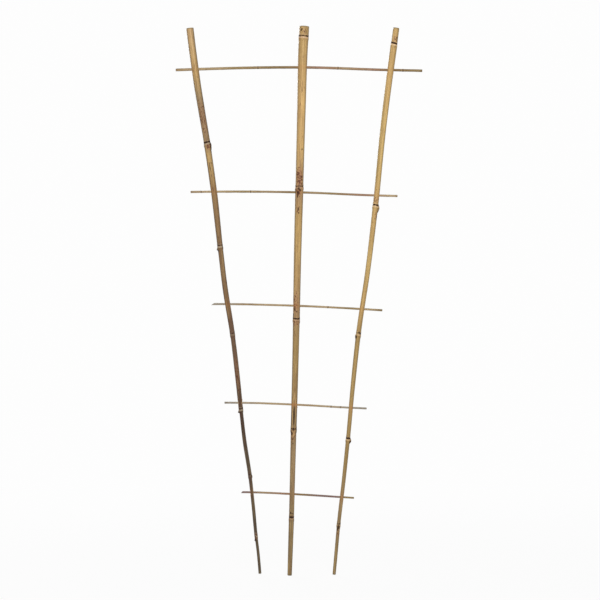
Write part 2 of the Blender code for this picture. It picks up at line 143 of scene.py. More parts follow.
def section_table(growths: dict[int, Growth], **sizes: tuple[float, ...]) -> tuple[Section, ...]:
    """A cane's sections, top first: growths by section number from 0, and a row of numbers for each size."""
    columns = enumerate(zip(*sizes.values()))
    return tuple(Section(**dict(zip(sizes, column)), growth=growths.get(n)) for n, column in columns)


def smooth_through(knots: Array, values: Array, at: Array) -> Array:
    """Smooth curve through values at rising knots, made of cubic pieces.

    The slope at a knot is the mean of the two chords beside it, each weighted by the other's length, and
    the end pieces bend evenly right to their ends.

    Args:
        knots: where the curve's values are given.
        values: the curve's values there.
        at: where the curve is read.

    Returns:
        The curve's values at those places.
    """
    spans = np.diff(knots)
    chords = np.diff(values) / spans
    inner = (chords[:-1] * spans[1:] + chords[1:] * spans[:-1]) / (spans[:-1] + spans[1:])
    slopes = np.concatenate([2 * chords[:1] - inner[:1], inner, 2 * chords[-1:] - inner[-1:]])
    piece = np.clip(np.searchsorted(knots, at, side="right") - 1, 0, len(spans) - 1)
    span = spans[piece]
    u = (at - knots[piece]) / span
    start, end = values[piece], values[piece + 1]
    rise = (3 - 2 * u) * u * u
    bend_in = u * (1 - u) ** 2 * span * slopes[piece]
    bend_out = -u * u * (1 - u) * span * slopes[piece + 1]
    return start + (end - start) * rise + bend_in + bend_out


def ease(share: Array) -> Array:
    """Rises smoothly from 0 to 1 as share goes from 0 to 1: three squares less two cubes of it."""
    share = np.clip(share, 0.0, 1.0)
    return (3 - 2 * share) * share * share


def spike(offset: Array, reach: float) -> Array:
    """1 where the offset is 0, falling evenly to 0 where it is reach to either side."""
    return np.clip(1 - np.abs(offset) / reach, 0.0, 1.0)


def hump(offset: Array, reach: float) -> Array:
    """1 where the offset is 0, falling smoothly to 0 where it is reach to either side."""
    return ease(spike(offset, reach))


def unit(vectors: Array) -> Array:
    """The vectors, each divided by its length."""
    return vectors / np.linalg.norm(vectors, axis=-1, keepdims=True)


def ring_turns(columns: int) -> Array:
    """Angles of a ring's columns, in even steps from the front."""
    return np.arange(columns) * 2 * math.pi / columns


def waves(turn: Array, along: Array | float, seed: int, crests: int, length: float = 1.0) -> Array:
    """Smooth unevenness round and along a stem, about -1 to 1.

    It is a sum of sine waves with whole numbers of crests round the stem, so that it closes, and random
    wavelengths along it and phases, over the root of half their number.

    Args:
        turn: angles round the stem, in radians.
        along: places along the stem, or 0 where it only changes round it.
        seed: which unevenness it is.
        crests: the most crests round it.
        length: the shortest wavelength along it.

    Returns:
        The unevenness.
    """
    chance, count = np.random.default_rng(seed), WAVE_COUNT
    around = chance.integers(0, crests + 1, count)
    steps = chance.uniform(-1.0, 1.0, count) * 2 * math.pi / length
    phases = chance.uniform(0.0, 2 * math.pi, count)
    total = sum(np.sin(n * turn + k * along + p) for n, k, p in zip(around, steps, phases))
    return total / math.sqrt(count / 2)


def spaced(start: float, end: float, widest: float, finest: dict[float, float], growth: float) -> Array:
    """Places from start to end, close together near chosen places and wide apart elsewhere.

    The spacing is the least of the widest one and, for each chosen place, its finest spacing plus growth
    times the distance from it. The places are even steps of the running sum of 1 over the spacing.

    Args:
        start: first place.
        end: last place, above or below the first.
        widest: greatest spacing.
        finest: spacing at each chosen place.
        growth: how fast the spacing grows away from it.

    Returns:
        The places, with start and end among them.
    """
    fine = np.linspace(start, end, SPACING_SAMPLES)
    centres = np.array(list(finest))
    least = np.array(list(finest.values()))
    spacing = (least[:, None] + growth * np.abs(fine[None, :] - centres[:, None])).min(axis=0)
    spacing = np.minimum(spacing, widest)
    running = np.concatenate([[0.0], np.cumsum(np.abs(np.diff(fine)) / spacing[1:])])
    count = max(2, math.ceil(running[-1]) + 1)
    return np.interp(np.linspace(0.0, running[-1], count), running, fine)


def closed_surface(name: str, rings: Array, first: Array, last: Array, bands: Array) -> Mesh:
    """Joins rings of points into one closed surface, with a pole at each end.

    Point j of ring i is joined to point j + 1 and to ring i + 1. Faces point outwards where, seen from
    outside, each ring lies under the one before it and the points of a ring run from left to right.

    Args:
        name: the mesh's name.
        rings: rows x columns x 3 points.
        first: pole before the first ring.
        last: pole after the last ring.
        bands: material slot of the fan at the first pole, of each band between rings and of the last fan.

    Returns:
        The mesh.
    """
    rows, columns = rings.shape[:2]
    index = np.arange(rows * columns).reshape(rows, columns)
    beside = np.roll(index, -1, axis=1)
    quads = np.stack([index[:-1], index[1:], beside[1:], beside[:-1]], axis=-1).reshape(-1, 4)
    pole = np.full(columns, rows * columns)
    first_fan = np.stack([pole, index[0], beside[0]], axis=-1)
    last_fan = np.stack([pole + 1, beside[-1], index[-1]], axis=-1)
    points = np.concatenate([rings.reshape(-1, 3), first[None, :], last[None, :]])
    mesh = bpy.data.meshes.new(name)
    mesh.from_pydata(points.tolist(), [], first_fan.tolist() + quads.tolist() + last_fan.tolist())
    mesh.polygons.foreach_set("material_index", np.repeat(bands, columns).astype(np.int32))
    return mesh


def rough_tube(name: str, path: Array, radii: Array, front: Array, slot: Slot = Slot.CUT) -> Mesh:
    """A closed tube whose radius changes along and round it.

    Each ring lies square to the path's slope. Its points stand off the path by the radius, at the cosine of
    the turn towards the front and the sine of it towards the third direction.

    Args:
        name: the mesh's name.
        path: rows x 3 points.
        radii: rows x columns radii.
        front: direction of turn 0, as one vector or one for each row.
        slot: material slot of its faces.

    Returns:
        The mesh.
    """
    turn = ring_turns(radii.shape[1])
    along = unit(np.gradient(path, axis=0))
    front = np.broadcast_to(front, path.shape)
    front = unit(front - along * (front * along).sum(axis=-1, keepdims=True))
    third = np.cross(front, along)
    spokes = front[:, None] * np.cos(turn)[:, None] + third[:, None] * np.sin(turn)[:, None]
    rings = path[:, None] + spokes * radii[..., None]
    return closed_surface(name, rings, path[0], path[-1], np.full(len(path) + 1, slot))


def joined(name: str, meshes: list[Mesh]) -> Mesh:
    """Copies all the meshes into one.

    Args:
        name: the new mesh's name.
        meshes: the meshes.

    Returns:
        The new mesh.
    """
    shell = bmesh.new()
    for mesh in meshes:
        shell.from_mesh(mesh)
    whole = bpy.data.meshes.new(name)
    shell.to_mesh(whole)
    shell.free()
    return whole


def new_object(name: str, data: bpy.types.ID) -> Piece:
    """A new object of the scene, at the origin.

    Args:
        name: its name.
        data: its mesh, lamp or camera.

    Returns:
        The object.
    """
    made = bpy.data.objects.new(name, data)
    bpy.context.scene.collection.objects.link(made)
    return made


def carved(piece: Piece, tool: Mesh) -> None:
    """Cuts a tool's shape out of a piece for good.

    Args:
        piece: the piece, whose mesh is replaced.
        tool: the shape, which is removed.
    """
    cutter = new_object(tool.name, tool)
    modifier = piece.modifiers.new("cut", "BOOLEAN")
    modifier.operation = "DIFFERENCE"
    modifier.solver = "EXACT"
    modifier.object = cutter
    depsgraph = bpy.context.evaluated_depsgraph_get()
    result = bpy.data.meshes.new_from_object(piece.evaluated_get(depsgraph))
    piece.modifiers.remove(modifier)
    old = piece.data
    piece.data = result
    result.name = piece.name
    bpy.data.meshes.remove(old)
    bpy.data.objects.remove(cutter)
    bpy.data.meshes.remove(tool)


def put_attribute(mesh: Mesh, name: str, values: Array) -> None:
    """Stores a number or a vector at each point of the mesh.

    Args:
        mesh: the mesh.
        name: the attribute's name.
        values: one number for each point, or one row of three.
    """
    kind, key = ("FLOAT", "value") if values.ndim == 1 else ("FLOAT_VECTOR", "vector")
    attribute = mesh.attributes.new(name, kind, "POINT")
    attribute.data.foreach_set(key, values.astype(np.float32).ravel())


def mesh_points(mesh: Mesh) -> Array:
    """Reads the mesh's points.

    Args:
        mesh: the mesh.

    Returns:
        Rows of three coordinates.
    """
    points = np.zeros(len(mesh.vertices) * 3, np.float32)
    mesh.vertices.foreach_get("co", points)
    return points.reshape(-1, 3).astype(float)


class Stem:
    """A round stem along a curve: what canes and rungs share.

    A place on it is given by how far along it is, as the coordinate of one axis, and by the turn round it,
    in radians, from the front.
    """

    name: str
    finish: "Skin"
    cut_finish: "CutWood"
    columns: int
    stops: Array  # points that the centre line goes through, in rising order along the axis
    axis: ClassVar[int] = 2
    slope_step: ClassVar[float] = 0.002
    straightening_rounds: ClassVar[int] = 3
    sharp_angle: ClassVar[float] = 38.0  # degrees between faces from which an edge stays sharp

    def body(self) -> Mesh:
        """The whole stem, before anything is cut out of it."""
        raise NotImplementedError

    def masks(self, at: Array, turn: Array) -> dict[str, Array]:
        """What the finish has to know at each point of the skin, by name."""
        raise NotImplementedError

    def centre(self, at: Array) -> Array:
        """The centre line, whose other two coordinates are smooth curves through the stops.

        Args:
            at: places along the stem.

        Returns:
            Points of the centre line there.
        """
        at = np.asarray(at, float)
        knots = self.stops[:, self.axis]
        curves = [smooth_through(knots, self.stops[:, side], at) for side in range(3) if side != self.axis]
        curves.insert(self.axis, at)
        return np.stack(curves, axis=-1)

    def frames(self, at: Array) -> tuple[Array, Array, Array, Array]:
        """The centre line's points and directions.

        The slope is the difference between points a step to both sides, rightwards or downwards. The front
        is -Y made square to it, and the third direction is square to both.

        Args:
            at: places along the stem.

        Returns:
            Points, slopes, directions of turn 0 and directions of turn 90 degrees.
        """
        step = self.slope_step if self.axis == 0 else -self.slope_step
        along = unit(self.centre(at + step) - self.centre(at - step))
        front = unit(FRONT - along * (along @ FRONT)[..., None])
        return self.centre(at), along, front, np.cross(front, along)

    def place(self, at: Array, radius: Array, turn: Array) -> Array:
        """Points that stand off the centre line by a radius at a turn.

        Args:
            at: places along the stem.
            radius: distances from the centre line.
            turn: angles round it.

        Returns:
            The points.
        """
        at, radius, turn = np.broadcast_arrays(at, radius, turn)
        centre, _, front, third = self.frames(at)
        outward = front * np.cos(turn)[..., None] + third * np.sin(turn)[..., None]
        return centre + radius[..., None] * outward

    def straighten(self, points: Array) -> tuple[Array, Array, Array]:
        """Where points lie along and round the stem.

        A point's place is moved a few times by its distance from the plane square to the centre line.

        Args:
            points: rows of three coordinates.

        Returns:
            Places along the stem, turns round it and distances from the centre line.
        """
        at = points[:, self.axis].copy()
        for _ in range(self.straightening_rounds):
            centre, along, _, _ = self.frames(at)
            at += ((points - centre) * along).sum(axis=-1) * along[:, self.axis]
        centre, _, front, third = self.frames(at)
        ahead = ((points - centre) * front).sum(axis=-1)
        beside = ((points - centre) * third).sum(axis=-1)
        return at, np.arctan2(beside, ahead), np.hypot(ahead, beside)

    def shell(self, first: Rows, outside: Rows, last: Rows, poles: Array) -> Mesh:
        """Joins the outside and both ends into one closed surface.

        Args:
            first: rows of the first end, from its rim inwards.
            outside: rows of the outside, from the first end to the last.
            last: rows of the last end, from its rim inwards.
            poles: the two places on the centre line where the ends close.

        Returns:
            The mesh, with cut wood at both ends and skin between them.
        """
        parts = zip(first, outside, last)
        at, radii = (np.concatenate([start[::-1], side, end]) for start, side, end in parts)
        bands = np.full(len(at) + 1, Slot.CUT)
        bands[len(first[0]) : len(first[0]) + len(outside[0]) + 1] = Slot.SKIN
        rings = self.place(at, radii, ring_turns(self.columns))
        return closed_surface(self.name, rings, *self.centre(poles), bands)

    def store_masks(self, mesh: Mesh) -> None:
        """Stores what the finish reads, and smooths the mesh but for its sharp edges.

        Args:
            mesh: the stem's mesh.
        """
        at, turn, radius = self.straighten(mesh_points(mesh))
        put_attribute(mesh, "grain", np.stack([radius * np.cos(turn), radius * np.sin(turn), at], axis=-1))
        for name, values in self.masks(at, turn).items():
            put_attribute(mesh, name, values)
        mesh.shade_smooth()
        mesh.set_sharp_from_angle(angle=math.radians(self.sharp_angle))

    def build(self) -> Piece:
        """Makes the stem.

        Returns:
            The stem's object.
        """
        piece = new_object(self.name, self.body())
        self.store_masks(piece.data)
        return piece

    def dress(self, piece: Piece) -> None:
        """Gives the stem its skin and its cut wood, hangs it under the root body and hides the imported solid
        of its name.

        Args:
            piece: the stem's object.
        """
        piece.data.materials.clear()
        piece.data.materials.append(self.finish.material(self.name + "_skin"))
        piece.data.materials.append(self.cut_finish.material())
        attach(piece, "root")
        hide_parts(self.name)


@dataclass(frozen=True)
class NodeShape:
    """Sizes of a node that all canes share."""

    scar_depth: float = 0.00025
    scar_half_width: float = 0.0006
    ridge_drop: float = 0.004
    ridge_span: float = 0.009
    flare_span: float = 0.006
    flare_share: float = 0.5
    diaphragm: float = 0.0026
    lip: float = 0.0001  # height of the torn sheath edge just above the scar
    lip_half_width: float = 0.0005
    ragged: float = 0.00022  # how far the scar line wanders up and down
    tilt_span: float = 0.012  # how far above and below it the scar's tilt is felt


@dataclass(frozen=True)
class BudShape:
    """Form that all buds share, and the groove that runs down the internode from each growth."""

    showing: float = 1.2  # its outline's size, over the root of its height over its half width
    narrowing: float = 0.3  # towards its lower tip
    along_power: float = 0.7
    across_power: float = 0.6
    crease_depth: float = 0.1  # share of its height
    crease_half_width: float = 0.12  # this and the next two in half widths
    crease_place: float = 0.25
    crease_slant: float = 0.5
    crease_fade: float = 4.0
    groove_depth: float = 0.045  # share of the cane's radius
    groove_half_width: float = 0.33  # in radians
    groove_start: float = 0.04  # this and the next two in internodes
    groove_end: float = 0.62
    groove_fade: float = 0.4


@dataclass(frozen=True)
class EndShape:
    """Sizes of a cane's sawn ends and of the hollows that they open."""

    chamfer: float = 0.0003
    saw_depth: float = 0.00008
    saw_length: float = 0.0015
    saw_fade: float = 5.0  # 1 over the smooth share of the wall, at its rim
    face_rows: int = 8
    unround: float = 0.04  # of the hollow
    rim_step: float = 0.0004  # from the cut face to its first ring
    wall_start: float = 0.002  # from the cut face to its second ring
    wall_end: float = 0.001  # from its last ring to its far end
    wall_step: float = 0.004  # between its other rings, about
    closing: float = 0.003  # length over which it narrows
    narrowing: float = 0.5


@dataclass(frozen=True)
class DrillShape:
    """Sizes of a drilled hole and of its torn rim that all canes share."""

    clearance: float = 0.0003
    roughness: float = 0.00004
    flare: float = 0.0002  # how much wider the hole is at its mouths
    flare_wander: float = 0.00016
    flare_depth: float = 0.0006  # where it starts, under the skin
    flare_span: float = 0.0012
    overshoot: float = 0.003  # of the cutting shape
    columns: int = 40
    rows: int = 33
    tear_depth: float = 0.00012
    tear_reach: float = 1.3  # across the grain, in hole radii
    tear_wander: float = 0.28
    tear_stretch: float = 1.8  # reach along the grain over that across it
    tear_edge: float = 0.2


@dataclass(frozen=True)
class ToneReach:
    """How strong the tones of a cane's details are, and how far they reach."""

    ink: float = 0.95
    ink_wander: float = 0.22
    ink_most: float = 1.2
    stump_edge: float = 0.0003
    stump_side: float = 0.25  # over the tone of its bare end
    bruise_band: float = 1.8  # reach of a hole's brown band, in hole radii
    bruise_mouth: float = 2.2  # and of the patch at its mouths
    mouth_least: float = 0.3
    mouth_gain: float = 0.6
    spot: float = 1.5  # outlines from its middle to where it has faded
    split_end: float = 0.001
    split_side: float = 0.0003
    split_dark: float = 1.6  # like spot, for the split's dark edge
    split_torn: float = 2.2  # where the skin beside it is most torn
    split_torn_span: float = 0.7
    rim: float = 0.0035  # from a sawn end


@dataclass(frozen=True)
class Split:
    """A drying split that runs down a cane's front, under a rung."""

    rung: int  # number of the rung, from 1 at the top
    drop: float = 0.004
    length: float = 0.028
    half_width: float = 0.0009
    depth: float = 0.0011
    sway: float = 0.00025  # of its line, in long waves
    tremble: float = 0.00012  # and in short ones
    uneven: float = 0.22  # share by which its width changes along it
    tip: float = 0.995  # share of its half length at which it closes
    columns: int = 24
    rows: int = 70


@dataclass(frozen=True)
class Splinter:
    """Thin slivers of skin that curl away from a rung's hole."""

    rung: int
    side: float  # degrees round the cane
    rise: float  # from the rung's axis up to where they start
    length: float
    curl: float  # how far their tips stand off the cane
    count: int = 3
    width: float = 0.00032
    tip: float = 0.00003  # their width at the tip
    sunk: float = 0.0001  # how deep in the skin they start
    least_length: float = 0.6  # as a share
    least_curl: float = 0.5
    spread: float = 0.35  # radians to each side of where they start
    drift: float = 0.25  # and of where their tips are, beyond that
    columns: int = 8
    rows: int = 9


@dataclass
class Cane(Stem):
    """One bamboo cane: its outside, nodes, hollow ends and drilled holes."""

    name: str
    top: tuple[float, float]  # place across and height
    foot: tuple[float, float]
    sections: tuple[Section, ...]
    finish: "CaneSkin"
    cut_finish: "CutWood"
    seed: int
    bruises: tuple[float, ...] = (0.3, 0.3, 0.3, 0.3, 0.3)  # how brown the skin is at each rung's hole
    marks: tuple[Mark, ...] = ()  # dark spots, a few of them painted shade
    stains: tuple[Mark, ...] = ()  # mottled brown patches
    split: Split | None = None
    splinters: tuple[Splinter, ...] = ()
    node: NodeShape = NodeShape()
    bud: BudShape = BudShape()
    end: EndShape = EndShape()
    drill: DrillShape = DrillShape()
    widest_step: float = 0.0022  # distances between rings: the widest, and the closest at each detail
    scar_step: float = 0.0002
    hole_step: float = 0.00035
    bud_step: float = 0.00035
    stump_step: float = 0.00018
    mark_step: float = 0.3  # of a mark's half length
    step_growth: float = 0.085  # how fast they grow away from a detail
    reach: ToneReach = ToneReach()
    columns: int = 72
    unround: float = 0.006  # as a share of its radius
    levels: Array = field(init=False)
    stops: Array = field(init=False)
    holes: list["Hole"] = field(init=False, default_factory=list)

    def __post_init__(self) -> None:
        """Works out the heights of the nodes and the points that the centre line goes through."""
        top_x, top_z = self.top
        foot_x, foot_z = self.foot
        self.levels = np.array([top_z - section.drop for section in self.sections] + [foot_z])
        lean = (top_x - foot_x) / (top_z - foot_z)
        asides = [(section.shift, section.back, section.bow) for section in self.sections]
        shifts, backs, bows = np.array([*asides, (0.0, 0.0, 0.0)]).T
        nodes = np.stack([foot_x + lean * (self.levels - foot_z) + shifts, backs, self.levels], axis=-1)
        middles = (nodes[:-1] + nodes[1:]) / 2
        middles[:, 0] += bows[:-1]
        stops = np.empty((len(nodes) + len(middles), 3))
        stops[0::2], stops[1::2] = nodes, middles
        self.stops = stops[::-1]

    def radius(self, at: Array) -> Array:
        """Outside radius: a taper along each internode, and a scar with a ridge under it at each node.

        Args:
            at: heights.

        Returns:
            The radii.
        """
        node = self.node
        relief = np.zeros(np.shape(at))
        above = None
        for section, level, level_below in zip(self.sections, self.levels, self.levels[1:]):
            below_scar = level - at
            share = np.clip(below_scar / (level - level_below), 0.0, 1.0)
            tapered = section.upper + (section.lower - section.upper) * share
            tapered = tapered + 4 * section.swell * share * (1 - share)
            if above is None:
                diameter = tapered
            else:
                blend = ease(below_scar / node.ridge_span)
                diameter = np.where(below_scar > 0, above.lower + (tapered - above.lower) * blend, diameter)
                crest = hump(below_scar - node.ridge_drop, node.ridge_span - node.ridge_drop)
                flare = node.flare_share * hump(below_scar, node.flare_span)
                lip = spike(below_scar + 2 * node.lip_half_width, node.lip_half_width)
                relief += section.ridge * np.maximum(crest, flare)
                relief -= node.scar_depth * spike(below_scar, node.scar_half_width)
                relief += node.lip * lip * lip
            above = section
        return diameter / 2 + relief

    def scar_shift(self, at: Array, turn: Array) -> Array:
        """How much higher the scars stand at a turn than at the cane's middle.

        It is each node's tilt times the sine of the turn, plus a ragged wander, and fades with the distance
        from the scar.

        Args:
            at: heights.
            turn: angles round the cane.

        Returns:
            The shifts.
        """
        total = 0.0
        for number, (section, level) in enumerate(zip(self.sections[1:], self.levels[1:])):
            near = hump(at - level, self.node.tilt_span)
            wander = self.node.ragged * waves(turn, 0.0, self.seed + Draw.SCAR_STEP * number, crests=5)
            total = total + near * (section.tilt * np.sin(turn) + wander)
        return total

    def below_scar(self, at: Array, turn: Array) -> tuple[Array, Array]:
        """How far places are below the nearest node scar.

        Args:
            at: heights.
            turn: angles round the cane.

        Returns:
            The distances, negative above the scar, and the number of the nearest node.
        """
        scars = self.levels[1:-1]
        below = scars - (at - self.scar_shift(at, turn))[..., None]
        nearest = np.abs(below).argmin(axis=-1)
        return np.take_along_axis(below, nearest[..., None], axis=-1)[..., 0], nearest

    def growths(self) -> list[tuple[Growth, float, float]]:
        """Finds the cane's growths, from the top down.

        Returns:
            Each growth, with the height of its middle and the length of the internode it lies on.
        """
        found = []
        for section, level, level_below in zip(self.sections, self.levels, self.levels[1:]):
            if section.growth:
                found.append((section.growth, level - section.growth.drop, level - level_below))
        return found

    def angle_from(self, turn: Array, side: float) -> Array:
        """The angle from a side, given in degrees, to each turn, in radians between minus and plus pi."""
        return (turn - math.radians(side) + math.pi) % (2 * math.pi) - math.pi

    def bud_lift(self, growth: Growth, height: float, at: Array, turn: Array) -> tuple[Array, Array]:
        """How far a bud lifts the skin, and how deep inside its outline a place is.

        The bud is a pointed oval, narrower towards the foot. Its lift is its proudness times powers of 1
        less the square of the share along it and across it. Its scales meet in a shallow crease.

        Args:
            growth: the bud.
            height: height of its middle.
            at: heights.
            turn: angles round the cane.

        Returns:
            The lift in metres, and a share that goes from 0 outside to 1 at the bud's middle.
        """
        bud = self.bud
        showing = min(1.0, bud.showing * math.sqrt(growth.proud / growth.width))
        along = (height - at) / (growth.length * showing)
        radius = float(self.radius(np.array(height)))
        across = radius * self.angle_from(turn, growth.side) / (growth.width * showing)
        width = np.sqrt(np.clip(1 - along**2, 1e-6, 1.0)) * (1 - bud.narrowing * along)
        across = across / width
        along_fall, across_fall = np.clip(1 - along**2, 0.0, 1.0), np.clip(1 - across**2, 0.0, 1.0)
        inside = along_fall * across_fall
        dome = along_fall**bud.along_power * across_fall**bud.across_power
        line = hump(across + bud.crease_place - bud.crease_slant * along, bud.crease_half_width)
        crease = bud.crease_depth * line * ease(inside * bud.crease_fade)
        return growth.proud * dome * (1 - crease), inside

    def stump_reach(self, growth: Growth, height: float, at: Array, turn: Array) -> tuple[Array, Array]:
        """How far a cut stump reaches from the cane's centre line.

        The stump is a peg that leans out towards the foot. Its side stands off the centre line by its end's
        reach, plus the drop times the tangent of its lean, plus its half thickness over the lean's cosine;
        its flat end, square to the peg, cuts that off.

        Args:
            growth: the stump.
            height: height of the middle of its flat end.
            at: heights.
            turn: angles round the cane.

        Returns:
            The reach, 0 beside the peg, and 1 where the flat end is met and 0 where the side is.
        """
        lean = math.radians(growth.lean)
        radius = float(self.radius(np.array(height)))
        reach = radius + growth.proud - growth.width * math.cos(lean)
        angle = self.angle_from(turn, growth.side)
        beside = radius * np.sin(angle)
        drop = height - at
        thickness = np.sqrt(np.clip(growth.width**2 - beside**2, 0.0, None))
        side = reach + (drop * math.sin(lean) + thickness) / math.cos(lean)
        end = reach - drop / math.tan(lean)
        peg = (np.abs(beside) < growth.width) & (np.abs(angle) < math.pi / 2)
        outward = np.where(peg, np.minimum(side, end), 0.0)
        return outward / np.maximum(np.cos(angle), 0.3), peg & (end < side)

    def hole_distance(self, hole: "Hole", at: Array, turn: Array, stretch: float) -> Array:
        """How far places on the skin are from the nearer mouth of a hole, over the hole's radius.

        Args:
            hole: the hole.
            at: heights.
            turn: angles round the cane.
            stretch: by how much distances along the grain count less than those across it.

        Returns:
            The distances, 1 at the edge of a round hole.
        """
        radius = self.radius(at)
        shares = []
        for mouth_at, mouth_turn in hole.mouths:
            across = radius * self.angle_from(turn, math.degrees(mouth_turn))
            shares.append(np.hypot((at - mouth_at) / stretch, across) / hole.radius)
        return np.minimum(*shares)

    def torn(self, at: Array, turn: Array) -> Array:
        """Where the drill tore the skin off round the holes, 1 in the tear and 0 outside it.

        The tear reaches further along the grain than across it, with a ragged edge.

        Args:
            at: heights.
            turn: angles round the cane.

        Returns:
            The shares.
        """
        drill = self.drill
        found = np.zeros(np.broadcast(at, turn).shape)
        for number, hole in enumerate(self.holes):
            ragged = waves(turn, at, self.seed + Draw.TEAR_STEP * number, crests=14, length=0.004)
            inside = drill.tear_reach + drill.tear_wander * ragged
            inside = inside - self.hole_distance(hole, at, turn, drill.tear_stretch)
            found = np.maximum(found, ease(inside / drill.tear_edge))
        return found

    def skin(self, at: Array, turn: Array) -> Array:
        """Outside radius at any height and turn.

        It is the radius at a height moved by the scars' tilt, less what it is out of round, less a shallow
        groove down the internode from each growth, plus the buds, or a stump's reach where that is more,
        less the torn skin round the holes.

        Args:
            at: heights.
            turn: angles round the cane.

        Returns:
            The radii.
        """
        bud = self.bud
        radius = self.radius(at - self.scar_shift(at, turn))
        uneven = waves(turn, at, self.seed + Draw.ROUNDNESS, crests=3, length=0.05)
        radius = radius * (1 - self.unround - self.unround * uneven)
        reach = np.zeros(radius.shape)
        for growth, height, internode in self.growths():
            share = (height - at) / internode
            fade = ease(share / bud.groove_start) * ease((bud.groove_end - share) / bud.groove_fade)
            beside = self.angle_from(turn, growth.side) / bud.groove_half_width
            radius = radius * (1 - bud.groove_depth * np.exp(-(beside**2)) * fade)
            if growth.kind is GrowthKind.BUD:
                radius = radius + self.bud_lift(growth, height, at, turn)[0]
            else:
                reach = np.maximum(reach, self.stump_reach(growth, height, at, turn)[0])
        return np.maximum(radius, reach) - self.drill.tear_depth * self.torn(at, turn)

    def stations(self) -> Array:
        """Where the outside's rings are: closest at scars, growths, holes and marks.

        Returns:
            Heights, from the top down.
        """
        steps = {GrowthKind.BUD: self.bud_step, GrowthKind.STUMP: self.stump_step}
        finest = {level: self.scar_step for level in self.levels[1:-1]}
        finest |= {hole.height: self.hole_step for hole in self.holes}
        finest |= {height: steps[growth.kind] for growth, height, _ in self.growths()}
        finest |= {mark.height: self.mark_step * mark.half_length for mark in self.marks}
        top, foot = self.levels[0] - self.end.chamfer, self.levels[-1] + self.end.chamfer
        return spaced(top, foot, self.widest_step, finest, self.step_growth)

    def end_rows(self, edge: float, inner: float, bore: float, sense: int) -> Rows:
        """Rows of the cut face and the hollow at one end, from the outer edge to the hollow's far end.

        Args:
            edge: height of the cut face.
            inner: height of the hollow's far end.
            bore: diameter of the hollow.
            sense: 1 at the top and -1 at the foot.

        Returns:
            The rows.
        """
        end, turn = self.end, ring_turns(self.columns)
        outer = self.skin(np.full(1, edge), turn) - end.chamfer
        wall = bore / 2 * (1 + end.unround * waves(turn, 0.0, self.seed + Draw.HOLLOW, crests=4))
        share = np.linspace(0.0, 1.0, end.face_rows)[:, None]
        face_radii = outer + (wall - outer) * share
        rough = 1 + waves(turn, face_radii, self.seed + Draw.SAW, crests=20, length=end.saw_length)
        sunk = end.saw_depth * rough * ease(share * end.saw_fade)
        face_levels = edge - sense * np.clip(sunk, 0.0, None)
        depth = abs(edge - inner)
        count = max(3, int(depth / end.wall_step))
        steps = np.concatenate([[end.rim_step], np.linspace(end.wall_start, depth - end.wall_end, count)])
        wall_levels = np.repeat((edge - sense * steps)[:, None], len(turn), axis=1)
        closing = ease((steps[:, None] - depth + end.closing) / end.closing)
        wall_radii = wall * (1 - end.narrowing * closing)
        return np.concatenate([face_levels, wall_levels]), np.concatenate([face_radii, wall_radii])

    def body(self) -> Mesh:
        """The cane before it is drilled: the hollow of its top, its outside and the hollow of its foot.

        Returns:
            The mesh.
        """
        levels = np.repeat(self.stations()[:, None], self.columns, axis=1)
        outside = levels, self.skin(levels, ring_turns(self.columns))
        top_inner = self.levels[1] + self.node.diaphragm / 2
        foot_inner = self.levels[-2] - self.node.diaphragm / 2
        top = self.end_rows(self.levels[0], top_inner, self.sections[0].bore, 1)
        foot = self.end_rows(self.levels[-1], foot_inner, self.sections[-1].bore, -1)
        return self.shell(top, outside, foot, np.array([top_inner, foot_inner]))

    def hole_tool(self, number: int, hole: "Hole") -> Mesh:
        """The shape that a rung's hole cuts: a rough tube that widens unevenly at both mouths.

        Its radius is the hole's, plus a little roughness, plus a ragged flare from just inside the skin
        outwards.

        Args:
            number: the rung's number, from 0.
            hole: the hole.

        Returns:
            The mesh.
        """
        drill, turn = self.drill, ring_turns(self.drill.columns)
        reach = hole.skin_radius + drill.overshoot
        steps = np.linspace(-reach, reach, drill.rows)
        path = hole.point + hole.along * steps[:, None]
        rough = waves(turn, steps[:, None], self.seed + Draw.BORE + number, crests=12, length=0.003)
        out = ease((np.abs(steps) - hole.skin_radius + drill.flare_depth) / drill.flare_span)[:, None]
        mouth = np.sign(steps)[:, None]
        ragged = waves(turn, mouth, self.seed + Draw.MOUTH + number, crests=9, length=5.0)
        flare = np.clip(drill.flare + drill.flare_wander * ragged, 0.0, None)
        radii = hole.radius + drill.roughness * np.abs(rough) + out * flare
        return rough_tube("hole", path, radii, FRONT)

    def split_middle(self) -> float:
        """Height of the middle of the drying split."""
        return self.holes[self.split.rung - 1].height - self.split.drop - self.split.length / 2

    def split_tool(self) -> Mesh:
        """The shape that the drying split cuts: a long ragged lens that lies in the skin.

        Its half width and depth go with the root of 1 less the square of the share along it. Sine waves
        make its line sway and its width uneven.

        Returns:
            The mesh.
        """
        split, turn = self.split, ring_turns(self.split.columns)
        share = np.linspace(-split.tip, split.tip, split.rows)
        levels = self.split_middle() - share * split.length / 2
        sway = split.sway * np.sin(share * 5.0) + split.tremble * np.sin(share * 23.0)
        radius = self.radius(levels)
        path = self.place(levels, radius, sway / radius)
        _, _, front, _ = self.frames(levels)
        swell = np.sqrt(1 - share**2)
        uneven = 1 + split.uneven * np.sin(share * 37.0 + 1.0) * np.cos(share * 11.0)
        across = split.half_width * swell * uneven
        depth = split.depth * swell
        radii = 1 / np.sqrt((np.cos(turn) / depth[:, None]) ** 2 + (np.sin(turn) / across[:, None]) ** 2)
        return rough_tube("split", path, radii, front, Slot.SKIN)

